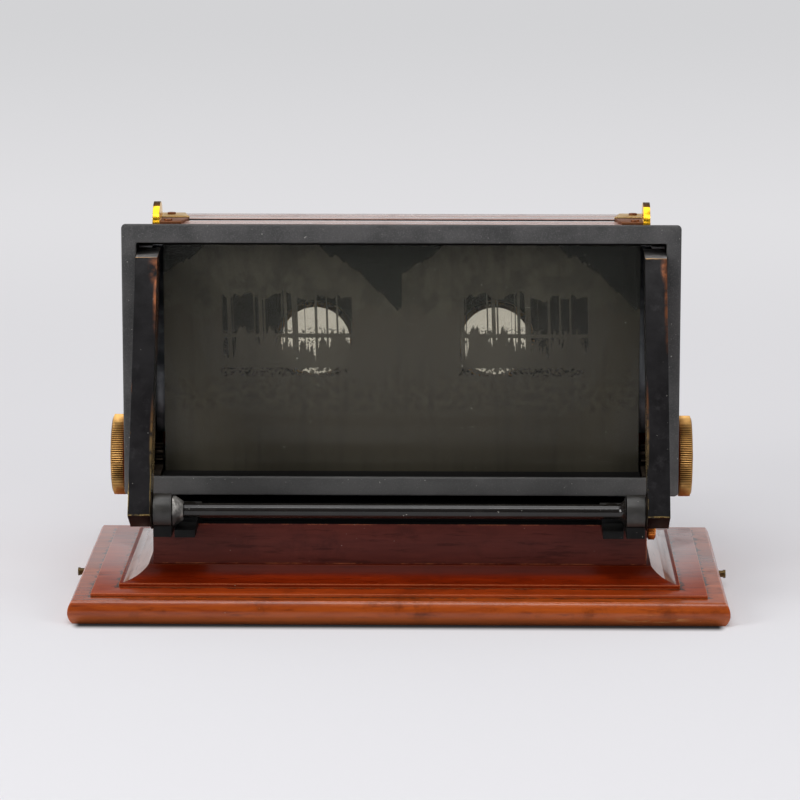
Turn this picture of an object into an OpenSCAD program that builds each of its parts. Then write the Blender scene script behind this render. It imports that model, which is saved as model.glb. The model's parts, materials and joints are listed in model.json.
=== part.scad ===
// Stereoscope for glass slides, on a moulded wooden plinth.
// Millimetres. Origin at the centre of the plinth's underside, +Z up, +X to the right
// and +Y away from a person who stands at the slide end, towards the eyepieces.

/* [Glass slide] */
// Width of the stereo slide
slide_w = 170; // [150:1:180]
// Height of the stereo slide
slide_h = 85; // [78:1:90]
// Thickness of each of its two glasses
glass_t = 1.3; // [1:0.1:1.6]
// Distance of the slide's middle plane behind the plinth's middle
slide_y = 7; // [3:0.5:12]

/* [Plinth] */
// How far the pedestal reaches past the hinge lugs
pedestal_side = 1.4; // [0.8:0.1:4]
// Depth of the pedestal
pedestal_d = 68; // [60:0.5:80]
// Thickness of the slab
slab_t = 8.3; // [6:0.1:12]
// How far the rounded edge stands out past the arris
nose = 1.65; // [0.8:0.05:2.5]
// Step from the slab's arris to the raised panel
panel_inset = 5.75; // [4:0.25:8]
// Height of the raised panel
panel_t = 1.1; // [0.8:0.1:2]
// Step from the panel's edge to the fillet of the cove
fillet_inset = 9.1; // [7:0.1:11]
// Height of the fillet below the cove
fillet_t = 1.4; // [0.8:0.1:2.5]
// How far the cove runs in
cove_run = 9.65; // [8:0.05:11]
// How far the cove rises
cove_rise = 4.7; // [3.5:0.1:6]
// Ledge between the cove and the pedestal
ledge = 1.6; // [0.8:0.1:2.5]
// Height of the pedestal
pedestal_h = 14.9; // [13:0.1:20]
// Chamfer on the pedestal's edges
pedestal_ease = 0.7; // [0.3:0.1:1]
// Radius of the catch pins for the dust cover
catch_r = 1.2; // [0.8:0.1:1.5]
// Length of a catch pin outside the wood, up to its head
catch_l = 1.5; // [1:0.1:3]

/* [Stand] */
// Free height between the pedestal and the head
head_gap = 4.4; // [4:0.1:6]
// Distance of the tilting axis in front of the plinth's middle
pivot_front = 47.2; // [45:0.1:50]
// Height of the tilting axis above the pedestal
pivot_rise = 6.9; // [6.6:0.1:8]
// Radius of the tie rod
rod_r = 2.5; // [2:0.1:3]
// Radius of the hinge barrels
barrel_r = 5.9; // [4.5:0.1:6]
// Length of a hinge barrel
barrel_l = 6.4; // [5:0.1:8]
// Width of an arm
arm_w = 7.7; // [6:0.1:9]
// Thickness of an arm, square to its length
arm_t = 13.5; // [11:0.1:15]
// How far in front of the slide's middle plane the arms end
arm_clear = 0.6; // [0.5:0.1:2]
// Length of the arm's foot below the axis
arm_foot = 4; // [3:0.1:4.5]
// Radius of the clamp knob
knob_r = 4.6; // [4:0.1:5]
// Thickness of the clamp knob
knob_t = 3; // [2:0.1:4]

/* [Head] */
// Thickness of the side boards
side_t = 4.1; // [3:0.1:6]
// How far the black frame stands out past the side boards
bezel_lap = 1.1; // [0.4:0.1:1.5]
// Thickness of the black frame
bezel_t = 2; // [1.5:0.1:3]
// Height of the frame's top bar
bar_top = 6.6; // [5:0.1:8]
// Height of the frame's bottom bar
bar_bottom = 6; // [4.5:0.1:6.5]
// Depth of the box from the frame's face to the slide
front_depth = 13.7; // [13.7:0.1:17]
// Depth of the box behind the slide
back_depth = 15.8; // [15:0.1:20]
// Thickness of the floor board
floor_t = 2.9; // [2:0.1:4]
// Width of the slot for the slide
slot_w = 3.2; // [3.2:0.1:4]
// Height of the brass slot guides above the wood
guide_h = 6.8; // [5:0.1:8]
// Radius of the arch on the slot guides
guide_r = 8.8; // [8:0.1:11]
// Thickness of a slot guide's cheek
guide_t = 2.4; // [2:0.1:4]
// Thickness of a slot guide's foot plate
guide_plate_t = 0.9; // [0.5:0.1:1.5]
// Radius that a slide spring is bent to
spring_r = 120; // [105:1:160]

/* [Hood and eyepieces] */
// Length of the fixed hood behind the box
hood_l = 52; // [44:1:56]
// Outer height of the hood
hood_h = 83.2; // [78:0.1:84]
// Thickness of the hood's boards
hood_t = 3.9; // [3:0.1:4.5]
// Thickness of the carriage's boards
carriage_t = 3.8; // [3:0.1:5]
// Distance from the slide to the lenses with the carriage pushed in
lens_distance = 85; // [82:0.5:92]
// Distance between the two lenses
lens_spacing = 68; // [62:0.5:75]
// Height of the lenses above the pedestal
lens_rise = 43.1; // [40:0.1:46]
// Radius of the clear view through a lens
view_r = 13; // [11:0.1:14]
// Focal length that the lens surfaces are ground to
focal_length = 95; // [80:1:120]
// Travel of the carriage
focus_travel = 13; // [8:0.5:13]

/* [Focusing wheels] */
// Radius of a wheel over its milled edge
wheel_r = 14.5; // [12:0.1:16]
// Thickness of a wheel
wheel_t = 4.9; // [3:0.1:6]
// Number of ridges on a milled edge
ridges = 110; // [60:2:130]
// Radius of the spindle
spindle_r = 2; // [1.6:0.1:2.3]
// Distance of the spindle behind the slide
spindle_back = 5; // [5:0.1:7]
// Height of the spindle above the pedestal
spindle_rise = 14.8; // [14.2:0.1:17]
// Module of the pinion's teeth
tooth_m = 0.7; // [0.7:0.05:0.75]
// Number of teeth on a pinion
teeth = 10; // [10:1:11]

/* [Hidden] */
$fn = 96;

// Free space between pieces that slide past each other
run = 0.3;
// Radial clearance of a shaft in its bearing
fit = 0.06;
// Radial clearance of a screw in its hole
snug = 0.03;
// Free space on each side of an arm
arm_gap = 0.8;
// Length that cutting shapes run past a surface
over = 1;

// Widths, from the middle outwards
slide_x = slide_w / 2;
arm_in = slide_x + arm_gap;
box_in = arm_in + arm_w;
box_out = box_in + side_t;
bezel_x = box_out + bezel_lap;
side_room = 0.4;
cheek_in = slide_x + side_room;
washer_t = 0.5;
lug_block_l = 8.1;
barrel_out = arm_in - washer_t - run;
barrel_in = barrel_out - barrel_l;
lug_in = barrel_in - lug_block_l;
pedestal_x = barrel_out + pedestal_side;

// Depths
slide_t = 2 * glass_t;
bezel_y = slide_y - front_depth;
box_front = bezel_y + bezel_t;
box_back = slide_y + back_depth;
slot_front = slide_y - slot_w / 2;
slot_back = slide_y + slot_w / 2;
spindle_y = slide_y + spindle_back;
hood_back = box_back + hood_l;
pivot_y = -pivot_front;

// Heights
lip = 0.7;
sill_lap = 0.2;
groove_depth = 0.5;
opening_room = 1.4;
arm_below = 3.6;
arm_slope = 1.1;
panel_z = slab_t;
fillet_z = panel_z + panel_t;
cove_z = fillet_z + fillet_t;
pedestal_z = cove_z + cove_rise;
stand_z = pedestal_z + pedestal_h;
pivot_z = stand_z + pivot_rise;
box_z = stand_z + head_gap;
floor_z = box_z + floor_t;
sill_z = box_z + bar_bottom - sill_lap;
groove_z = floor_z + groove_depth;
slide_z = groove_z + run;
slide_top = slide_z + slide_h;
lip_z = slide_top - lip;
opening_z = box_z + bar_bottom;
opening_top = slide_top + opening_room;
bezel_top = opening_top + bar_top;
box_top = bezel_top - 0.1;
arm_top = opening_top - arm_below;
spindle_z = stand_z + spindle_rise;
hood_top_z = box_z + hood_h;
lens_z = stand_z + lens_rise;

// Moulded plinth, which steps out from the pedestal down to the slab
pedestal_w = 2 * pedestal_x;
pedestal_front = -pedestal_d / 2;
fillet_w = pedestal_w + 2 * (cove_run + ledge);
fillet_d = pedestal_d + 2 * (cove_run + ledge);
panel_w = fillet_w + 2 * fillet_inset;
panel_d = fillet_d + 2 * fillet_inset;
slab_w = panel_w + 2 * panel_inset;
slab_d = panel_d + 2 * panel_inset;
nose_r = (pow(slab_t / 2, 2) + pow(nose, 2)) / (2 * nose);
cove_r = (pow(cove_run, 2) + pow(cove_rise, 2)) / (2 * cove_rise);

// A box from its lowest to its highest corner
module span(lo, hi) {
    translate(lo) cube(hi - lo);
}

// An outline in (Y, Z), drawn out along X
module along_x(x0, x1) {
    translate([x0, 0, 0]) rotate([90, 0, 90]) linear_extrude(x1 - x0) children();
}

// An outline in (X, Z), drawn out along Y
module along_y(y0, y1) {
    translate([0, y1, 0]) rotate([90, 0, 0]) linear_extrude(y1 - y0) children();
}

// A round bar along X
module bar_x(x0, x1, r) {
    translate([x0, 0, 0]) rotate([0, 90, 0]) cylinder(h = x1 - x0, r = r);
}

// A turned shape about the Y axis, its outline given as (radius, Y)
module turned_y() {
    rotate([-90, 0, 0]) rotate_extrude() children();
}

// The left piece is the right one mirrored
module pair(side) {
    if (side < 0) mirror([1, 0, 0]) children();
    else children();
}

// A screw that points down, its round head resting on Z = 0
module screw(length, r, head_r, head_t) {
    translate([0, 0, -length]) cylinder(h = length + head_t / 2, r = r);
    difference() {
        cylinder(h = head_t, r = head_r);
        span([-head_r - over, -head_r / 7, head_t / 2], [head_r + over, head_r / 7, head_t + over]);
    }
}

// One half of a moulding's section, from the middle out to x
module nosed_section(x) {
    centre = x + nose - nose_r;
    translate([-centre, 0]) square([2 * centre, slab_t]);
    for (s = [-1, 1]) intersection() {
        translate([s * centre, slab_t / 2]) circle(r = nose_r);
        translate([-x - 2 * nose, 0]) square([2 * (x + 2 * nose), slab_t]);
    }
}

module coved_section(x) {
    difference() {
        translate([-x, fillet_z]) square([2 * x, pedestal_z - fillet_z]);
        for (s = [-1, 1]) translate([s * x, cove_z + cove_r]) circle(r = cove_r);
        for (s = [-1, 1]) translate([s * (x - cove_run / 2 + over) - cove_run / 2 - over, pedestal_z])
            square([cove_run + 2 * over, over]);
    }
}

module eased_section(x) {
    polygon([
        [-x, pedestal_z], [x, pedestal_z], [x, stand_z - pedestal_ease],
        [x - pedestal_ease, stand_z], [-x + pedestal_ease, stand_z],
        [-x, stand_z - pedestal_ease]
    ]);
}

// The four long screws that hold the plinth together from below
screw_from_end = 16;
screw_from_side = 10;
screw_cover = 6;
screw_x = pedestal_x - screw_from_end;
screw_y = pedestal_d / 2 - screw_from_side;
screw_top = stand_z - screw_cover;
screw_r = 2;
screw_head_r = 4;
screw_head_t = 2.2;
screw_sink = 0.6;
screw_slot = 0.5;
module at_plinth_screws() {
    for (x = [-1, 1], y = [-1, 1]) translate([x * screw_x, y * screw_y, 0]) children();
}
module plinth_bores() {
    at_plinth_screws() translate([0, 0, -over]) cylinder(h = screw_top + over, r = screw_r + snug);
}

module plinth_slab() {
    color("#8a3a1e") difference() {
        intersection() {
            along_y(-slab_d, slab_d) nosed_section(slab_w / 2);
            along_x(-slab_w, slab_w) nosed_section(slab_d / 2);
        }
        plinth_bores();
        at_plinth_screws() translate([0, 0, -over])
            cylinder(h = screw_sink + screw_head_t + over, r = screw_head_r + snug);
        for (s = [-1, 1]) translate([0, catch_y, catch_z])
            bar_x(s * catch_face - catch_hole / 2, s * catch_face + catch_hole / 2, catch_r + snug);
    }
}

module plinth_panel() {
    color("#7a3018") difference() {
        span([-panel_w / 2, -panel_d / 2, panel_z], [panel_w / 2, panel_d / 2, fillet_z]);
        plinth_bores();
    }
}

module cove_block() {
    color("#6e2614") difference() {
        intersection() {
            along_y(-fillet_d, fillet_d) coved_section(fillet_w / 2);
            along_x(-fillet_w, fillet_w) coved_section(fillet_d / 2);
        }
        plinth_bores();
    }
}

module pedestal() {
    color("#46262a") difference() {
        intersection() {
            along_y(-pedestal_d, pedestal_d) eased_section(pedestal_x);
            along_x(-pedestal_w, pedestal_w) eased_section(pedestal_d / 2);
            span([-pedestal_x, pedestal_front, 0], [pedestal_x, -pedestal_front, stand_z + over]);
        }
        plinth_bores();
        at_lug_screws() translate([0, 0, -lug_screw_l])
            cylinder(h = lug_screw_l + over, r = lug_screw_r + snug);
        translate([0, knob_y, knob_z])
            bar_x(pedestal_x - knob_shank - run, pedestal_x + over, knob_shank_r + fit);
    }
}

module plinth_screws() {
    color("#8c7a4a") at_plinth_screws() {
        translate([0, 0, screw_sink]) difference() {
            cylinder(h = screw_head_t, r = screw_head_r);
            span([-screw_head_r - over, -screw_slot, -over],
                [screw_head_r + over, screw_slot, screw_head_t / 2]);
        }
        translate([0, 0, screw_sink]) cylinder(h = screw_top - screw_sink, r = screw_r);
    }
}

// Two small headed pins in the slab's ends, which a dust cover catches on
catch_y = 1.5;
catch_z = slab_t / 2;
catch_hole = 10;
catch_face = slab_w / 2 + nose;
catch_rim = 0.25;
catch_head_r = catch_r + catch_rim;
catch_head_t = 0.8;
module catch_pin(side) {
    color("#5d5033") pair(side) translate([0, catch_y, catch_z]) {
        bar_x(catch_face - catch_hole / 2 + run, catch_face + catch_l + catch_head_t / 2, catch_r);
        bar_x(catch_face + catch_l, catch_face + catch_l + catch_head_t, catch_head_r);
    }
}
module catch_pin_left() { catch_pin(-1); }
module catch_pin_right() { catch_pin(1); }

// Black cloth on the pedestal, and the covered strip that the head comes down on
cloth_t = 0.8;
cloth_edge = 1;
cloth_x = lug_in - 1.5;
strip_d = 14;
strip_back = 4;
strip_y = -pedestal_front - strip_back - strip_d;
module pedestal_cloth() {
    color("#141313")
        span([-cloth_x, pedestal_front + cloth_edge, stand_z], [cloth_x, strip_y - run, stand_z + cloth_t]);
}
module rest_strip() {
    color("#1c1b1a") span([-pedestal_x + pedestal_ease, strip_y, stand_z],
        [pedestal_x - pedestal_ease, strip_y + strip_d, box_z - run]);
}

// Hinge lugs: a foot on the pedestal, an inner block and a barrel round the tie rod
lug_drop = 1.9;
lug_z = stand_z - lug_drop;
lug_foot_t = 3;
lug_foot_l = 20;
lug_block_reach = 3.8;
lug_block_top = pivot_z - barrel_r - 0.2;
lug_barrel_reach = 3.3;
lug_seam = 1;
lug_neck = 4;
lug_screw_in = 4;
lug_screw_back = 14;
lug_screw_y = pedestal_front + lug_screw_back;
lug_screw_r = 1.1;
lug_screw_l = 8;
lug_screw_head_r = 2.1;
lug_screw_head_t = 0.8;
module lug_section(front, block_top) {
    polygon([
        [front, lug_z], [pedestal_front, lug_z], [pedestal_front, stand_z],
        [pedestal_front + lug_foot_l, stand_z], [pedestal_front + lug_foot_l, stand_z + lug_foot_t],
        [pedestal_front - lug_neck, stand_z + lug_foot_t], [pedestal_front - lug_neck, block_top],
        [front, block_top]
    ]);
}
module at_lug_screws() {
    for (s = [-1, 1], x = [lug_in + lug_screw_in, barrel_out - lug_screw_in])
        translate([s * x, lug_screw_y, stand_z + lug_foot_t]) children();
}
module lug(side) {
    color("#1a1817") difference() {
        pair(side) {
            along_x(lug_in, barrel_in - lug_seam) lug_section(pivot_y - lug_block_reach, lug_block_top);
            along_x(barrel_in - lug_seam - over, barrel_in + over) intersection() {
                lug_section(pivot_y, lug_block_top);
                translate([pedestal_front - lug_neck, lug_z])
                    square([lug_neck + lug_foot_l, lug_foot_t + 2 * pivot_rise]);
            }
            along_x(barrel_in, barrel_out) difference() {
                union() {
                    lug_section(pivot_y - lug_barrel_reach, pivot_z);
                    translate([pivot_y, pivot_z]) circle(r = barrel_r);
                }
                translate([pivot_y, pivot_z]) circle(r = rod_r + fit);
            }
        }
        at_lug_screws() translate([0, 0, -lug_screw_l])
            cylinder(h = lug_screw_l + over, r = lug_screw_r + snug);
    }
}
module lug_left() { lug(-1); }
module lug_right() { lug(1); }
module lug_screws() {
    color("#2a2622") at_lug_screws()
        screw(lug_screw_l - run, lug_screw_r, lug_screw_head_r, lug_screw_head_t);
}

// Small brass clamp screw in the pedestal's right side
knob_back = 7.5;
knob_drop = 2.8;
knob_y = pedestal_front + knob_back;
knob_z = stand_z - knob_drop;
knob_ridges = 40;
knob_mill = 0.2;
knob_shank = 12;
knob_shank_r = 1.25;
module clamp_knob() {
    color("#b07c34") translate([0, knob_y, knob_z]) {
        bar_x(pedestal_x - knob_shank, pedestal_x + run + over, knob_shank_r);
        milled_disc(pedestal_x + run, knob_t, knob_r, knob_ridges, knob_mill);
    }
}

// A disc along X with a milled band between two chamfered rims
mill_rim = 0.4;
function milled(r, depth, n) = [
    for (i = [0 : 2 * n - 1]) let (a = i * 180 / n, d = i % 2 == 0 ? 0 : depth)
        [(r - d) * cos(a), (r - d) * sin(a)]
];
module milled_disc(x, t, r, n, depth) {
    body = r - depth - 0.1;
    along_x(x + mill_rim, x + t - mill_rim) polygon(milled(r, depth, n));
    translate([x, 0, 0]) rotate([0, 90, 0]) rotate_extrude() polygon([
        [0, 0], [body - mill_rim, 0], [body, mill_rim], [body, t - mill_rim], [body - mill_rim, t], [0, t]
    ]);
}

// Tie rod through both arms, with a flare on the right and a six-sided nut on the left
rod_short = 0.2;
flare_l = 3.4;
flare_step = 0.4;
nut_l = 3.6;
nut_tip = 0.8;
nut_r = barrel_r - 0.2;
rod_stop = barrel_in - run;
module tie_rod() {
    color("#191716") translate([0, pivot_y, pivot_z]) {
        bar_x(-box_in + rod_short, box_in - rod_short, rod_r);
        translate([rod_stop - flare_l, 0, 0]) rotate([0, 90, 0])
            rotate_extrude() difference() {
                square([barrel_r - flare_step, flare_l]);
                translate([rod_r + flare_l, 0]) circle(r = flare_l);
            }
    }
}
module cone_nut() {
    color("#211e1c") translate([-rod_stop, pivot_y, pivot_z]) difference() {
        intersection() {
            along_x(0, nut_l) circle(r = nut_r, $fn = 6);
            rotate([0, 90, 0]) cylinder(h = nut_l, r1 = nut_r, r2 = rod_r + nut_tip);
        }
        bar_x(-over, nut_l + over, rod_r + snug);
    }
}
washer_rim = 0.6;
module thrust_washers() {
    color("#c08c3c") translate([0, pivot_y, pivot_z]) for (s = [-1, 1]) pair(s) difference() {
        bar_x(arm_in - washer_t, arm_in, barrel_r + washer_rim);
        bar_x(arm_in - washer_t - over, arm_in + over, rod_r + snug);
    }
}

// Leaning arms, from the axis up to the top corners of the box. The line through the axis is
// (sin, cos) of the lean.
arm_reach = slide_y - arm_clear - pivot_y;
arm_rise = arm_top - pivot_z;
arm_lean = acos(arm_t / 2 / norm([arm_reach, arm_rise])) - atan2(arm_rise, arm_reach);
lean = [sin(arm_lean), cos(arm_lean)];
square_to = [cos(arm_lean), -sin(arm_lean)];
pivot = [pivot_y, pivot_z];
function arm_face(s) = pivot + s * arm_t / 2 * square_to;
function arm_end(s) = arm_face(s) - arm_foot * lean;
function arm_tip(s) =
    arm_face(s) + (arm_top - (s < 0 ? arm_slope : 0) - arm_face(s)[1]) / lean[1] * lean;
arm_screw_r = 1;
arm_screw_head_r = 1.9;
arm_screw_head_t = 0.8;
arm_screw_l = 9;
arm_screw_high_in = 4.2;
arm_screw_high_down = 4;
arm_screw_low_in = 2.3;
arm_screw_low_down = 11;
arm_screw_places = [
    [box_front + arm_screw_high_in, arm_top - arm_screw_high_down],
    [box_front + arm_screw_low_in, arm_top - arm_screw_low_down]
];
module at_arm_screws() {
    for (s = [-1, 1], p = arm_screw_places) pair(s) translate([box_out, p[0], p[1]])
        rotate([0, 90, 0]) children();
}
module arm_screw_bores() {
    at_arm_screws() translate([0, 0, -arm_screw_l]) cylinder(h = arm_screw_l + over, r = arm_screw_r + snug);
}
module arm(side) {
    color("#1b1816") difference() {
        pair(side) along_x(arm_in, box_in) difference() {
            polygon([arm_end(-1), arm_end(1), arm_tip(1), arm_tip(-1)]);
            translate(pivot) circle(r = rod_r + snug);
        }
        arm_screw_bores();
    }
}
module arm_left() { arm(-1); }
module arm_right() { arm(1); }
module arm_screws() {
    color("#a67c3a") at_arm_screws() 
        screw(arm_screw_l - run, arm_screw_r, arm_screw_head_r, arm_screw_head_t);
}

// Black covered frame round the slide
bezel_corner = 1.5;
bezel_drop = 0.7;
module rounded(x0, z0, x1, z1, r) {
    translate([x0 + r, z0]) square([x1 - x0 - 2 * r, z1 - z0]);
    translate([x0, z0 + r]) square([x1 - x0, z1 - z0 - 2 * r]);
    for (x = [x0 + r, x1 - r], z = [z0 + r, z1 - r]) translate([x, z]) circle(r = r);
}
module bezel() {
    color("#2c2b2a") along_y(bezel_y, box_front) difference() {
        rounded(-bezel_x, box_z - bezel_drop, bezel_x, bezel_top, bezel_corner);
        translate([-box_in, opening_z]) square([2 * box_in, opening_top - opening_z]);
    }
}

// Slide box. Its top stands up between the slot guides, and past them it is lower.
shoulder_drop = 4.6;
shoulder_x = cheek_in + guide_t;
shoulder_z = box_top - shoulder_drop;
module shoulders() {
    for (s = [-1, 1]) pair(s) span([shoulder_x, box_front - over, shoulder_z],
        [box_out + over, box_back + over, box_top + over]);
}
bush_r = 4;
bush_flange_r = 6;
bush_flange_t = 0.8;
module box_side(side) {
    color("#7b3219") difference() {
        pair(side) difference() {
            span([box_in, box_front, box_z], [box_out, box_back, shoulder_z]);
            translate([0, spindle_y, spindle_z]) bar_x(box_in - over, box_out + over, bush_r + snug);
        }
        arm_screw_bores();
    }
}
module box_side_left() { box_side(-1); }
module box_side_right() { box_side(1); }
module floor_board() {
    color("#6a2a16") span([-box_in, box_front, box_z], [box_in, hood_back, floor_z]);
}
sill_back = 1.4;
module slide_sill() {
    color("#1d1a18") along_x(-cheek_in, cheek_in) difference() {
        translate([box_front, floor_z]) square([slot_back + sill_back - box_front, sill_z - floor_z]);
        translate([slot_front, groove_z]) square([slot_w, sill_z - groove_z + over]);
    }
}
lip_t = 2;
module top_board_front() {
    color("#8a4028") difference() {
        along_x(-box_in, box_in) polygon([
            [box_front, opening_top], [slot_front - lip_t, opening_top], [slot_front - lip_t, lip_z],
            [slot_front, lip_z], [slot_front, box_top], [box_front, box_top]
        ]);
        shoulders();
        guide_screw_bores();
    }
}
module top_board_back() {
    color("#8a4028") difference() {
        span([-box_in, slot_back, lip_z], [box_in, box_back, box_top]);
        shoulders();
        guide_screw_bores();
    }
}
slot_end_gap = 0.6;
module slot_ends() {
    color("#7b3219") difference() {
        for (s = [-1, 1]) pair(s)
            span([cheek_in + slot_end_gap, slot_front, opening_top], [box_in, slot_back, box_top]);
        shoulders();
    }
}

// Brass guides at the slot's ends: an arched cheek on a forked foot plate
guide_fork = 10.2;
guide_foot = 7.7;
guide_half = front_depth - bezel_t - 0.2;
guide_y = slide_y - guide_half + guide_r - 0.1;
guide_screw_in = 3;
guide_screw_x = cheek_in - guide_screw_in;
guide_screw_y = 8.2;
guide_screw_r = 0.8;
guide_screw_l = 4;
guide_screw_head_r = 1.5;
guide_screw_head_t = 0.5;
module at_guide_screws() {
    for (s = [-1, 1], y = [-1, 1])
        translate([s * guide_screw_x, slide_y + y * guide_screw_y, box_top + guide_plate_t]) children();
}
module guide_screw_bores() {
    at_guide_screws() translate([0, 0, -guide_screw_l])
        cylinder(h = guide_screw_l + over, r = guide_screw_r + snug);
}
module slot_guide(side) {
    color("#d9a437") difference() {
        pair(side) {
            along_x(cheek_in, cheek_in + guide_t) intersection() {
                translate([guide_y, box_top + guide_h - guide_r]) circle(r = guide_r);
                translate([guide_y - guide_r, box_top]) square([2 * guide_r, guide_h + over]);
            }
            translate([0, slide_y, box_top]) linear_extrude(guide_plate_t) difference() {
                polygon([
                    [cheek_in + guide_t, -guide_half], [cheek_in + guide_t, guide_half],
                    [cheek_in - guide_foot, guide_half], [cheek_in - guide_fork, 0],
                    [cheek_in - guide_foot, -guide_half]
                ]);
                translate([0, -slot_w / 2]) square([cheek_in, slot_w]);
            }
        }
        guide_screw_bores();
    }
}
module slot_guide_left() { slot_guide(-1); }
module slot_guide_right() { slot_guide(1); }
module guide_screws() {
    color("#6b5224") at_guide_screws()
        screw(guide_screw_l - run, guide_screw_r, guide_screw_head_r, guide_screw_head_t);
}

// Bright leaf springs, fixed at their tops and bowed forward to the slide's back
spring_t = 0.6;
spring_w = 4.9;
spring_lap = 1.5;
spring_in = slide_x - spring_lap;
spring_rise = 8;
spring_low = spindle_z + spring_rise;
spring_top = arm_top + spring_t;
spring_lip = 4.6;
spring_front = slide_y - 0.1;
bow_y = slot_back + spring_r;
bow_z = (spring_low + spring_top) / 2;
bow_end = bow_y - sqrt(pow(spring_r, 2) - pow(spring_top - bow_z, 2));
spring_facets = 400;
module side_spring(side) {
    color("#c9cac8") pair(side) {
        along_x(spring_in, spring_in + spring_w) intersection() {
            translate([bow_y, bow_z]) difference() {
                circle(r = spring_r, $fn = spring_facets);
                circle(r = spring_r - spring_t, $fn = spring_facets);
            }
            translate([slot_back, spring_low]) square([bow_end, spring_top - spring_low]);
        }
        span([spring_in, bow_end - spring_t, spring_top - spring_t], [box_in, bow_end + spring_t, spring_top]);
        span([box_in - spring_lip, spring_front, spring_top - spring_t], [box_in, bow_end, spring_top]);
    }
}
module side_spring_left() { side_spring(-1); }
module side_spring_right() { side_spring(1); }

// Blackened mask with one window for each picture, standing behind the slide
mask_t = 0.8;
mask_y = slot_back + 0.1;
mask_x = spring_in - run;
window_in = 4;
window_side = 6;
window_above = 5.2;
window_rise = 3.1;
window_w = slide_x - window_in - window_side;
window_z = spindle_z + window_rise;
window_h = slide_top - window_above - window_z;
module mask_board() {
    color("#151414") along_y(mask_y, mask_y + mask_t) difference() {
        translate([-mask_x, sill_z]) square([2 * mask_x, lip_z - sill_z]);
        for (s = [-1, 1]) translate([s * (window_in + window_w / 2) - window_w / 2, window_z])
            square([window_w, window_h]);
    }
}

module spindle_bushes() {
    color("#b98a3e") translate([0, spindle_y, spindle_z]) for (s = [-1, 1]) pair(s) difference() {
        union() {
            bar_x(box_in, box_out + over / 2, bush_r);
            bar_x(box_out, box_out + bush_flange_t, bush_flange_r);
        }
        bar_x(box_in - over, box_out + 2 * over, spindle_r + fit);
    }
}

// Fixed hood: it carries the sliding carriage of the eyepieces
hood_clear = 5;
hood_in = box_in - hood_t;
hood_front = spindle_y + hood_clear;
hood_ceiling = hood_top_z - hood_t;
module back_rail() {
    color("#7b3219") span([-box_in, hood_front, hood_ceiling], [box_in, box_back, lip_z]);
}
module hood_side(side) {
    color("#7a3319") pair(side) span([hood_in, hood_front, floor_z], [box_in, hood_back, hood_ceiling]);
}
module hood_side_left() { hood_side(-1); }
module hood_side_right() { hood_side(1); }
module hood_top() {
    color("#86391d") span([-box_in, box_back, hood_ceiling], [box_in, hood_back, hood_top_z]);
}

// Sliding carriage
carriage_x = hood_in - run;
carriage_in = carriage_x - carriage_t;
carriage_z = floor_z + run;
carriage_top_z = hood_ceiling - run;
lens_y = slide_y + lens_distance;
board_set = 2;
board_t = 4;
board_front = lens_y + board_set;
board_back = board_front + board_t;
carriage_hold = 25;
carriage_front = hood_back - carriage_hold;
rack_side = 0.1;
rack_in = arm_in + rack_side;
rack_out = hood_in - run - rack_side;
rack_hold = 14;
rack_tail = carriage_front + rack_hold;
pitch_r = tooth_m * teeth / 2;
pitch_z = spindle_z - pitch_r;
root_room = 0.2;
root_z = pitch_z - tooth_m - root_room;
tooth_tip = 0.57 * tooth_m;
rack_screw_first = 4;
rack_screw_step = 6;
rack_screw_r = 0.9;
rack_screw_l = 8;
rack_screw_head_r = 1.5;
rack_screw_head_t = 0.6;
rack_screw_x = (rack_in + rack_out) / 2;
module at_rack_screws() {
    for (s = [-1, 1], i = [0, 1])
        translate([s * rack_screw_x, carriage_front + rack_screw_first + i * rack_screw_step, carriage_z])
            rotate([180, 0, 0]) children();
}
module rack_screw_bores() {
    at_rack_screws() {
        translate([0, 0, -rack_screw_l]) cylinder(h = rack_screw_l + over, r = rack_screw_r + snug);
        translate([0, 0, -rack_screw_head_t]) cylinder(h = over, r = rack_screw_head_r + snug);
    }
}
module carriage_top() {
    color("#84381c") span([-carriage_in, carriage_front, carriage_top_z - carriage_t],
        [carriage_in, board_back, carriage_top_z]);
}
module carriage_floor() {
    color("#6a2a16") span([-carriage_in, carriage_front, carriage_z],
        [carriage_in, board_back, carriage_z + carriage_t]);
}
module carriage_side(side) {
    color("#7a3319") difference() {
        pair(side) difference() {
            span([carriage_in, carriage_front, carriage_z], [carriage_x, board_back, carriage_top_z]);
            span([carriage_in - over, carriage_front - over, carriage_z - over],
                [carriage_x + over, rack_tail, root_z]);
        }
        rack_screw_bores();
    }
}
module carriage_side_left() { carriage_side(-1); }
module carriage_side_right() { carriage_side(1); }

// Board with the two eyepieces, and the partition that keeps the views apart
lens_rim = 0.7;
lens_r = view_r + lens_rim;
tube_wall = 1.3;
tube_r = lens_r + tube_wall;
flange_w = 5;
flange_r = tube_r + flange_w;
flange_t = 1.4;
flange_screw_out = 3.6;
flange_screw_at = tube_r + flange_screw_out;
flange_screw_r = 0.8;
flange_screw_l = 3;
flange_screw_head_r = 1.2;
flange_screw_head_t = 0.5;
module at_eyepieces() {
    for (s = [-1, 1]) translate([s * lens_spacing / 2, 0, lens_z]) children();
}
module at_flange_screws() {
    at_eyepieces() for (i = [0 : 2]) rotate([0, 90 + i * 120, 0])
        translate([flange_screw_at, board_back + flange_t, 0]) rotate([-90, 0, 0]) children();
}
module flange_screw_bores() {
    at_flange_screws() translate([0, 0, -flange_screw_l - flange_t])
        cylinder(h = flange_screw_l + flange_t + over, r = flange_screw_r + snug);
}
module lens_board() {
    color("#7b3219") difference() {
        span([-carriage_in, board_front, carriage_z + carriage_t],
            [carriage_in, board_back, carriage_top_z - carriage_t]);
        at_eyepieces() translate([0, board_front - over, 0]) rotate([-90, 0, 0])
            cylinder(h = board_back - board_front + 2 * over, r = tube_r + snug);
        flange_screw_bores();
    }
}
septum_t = 3;
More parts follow.
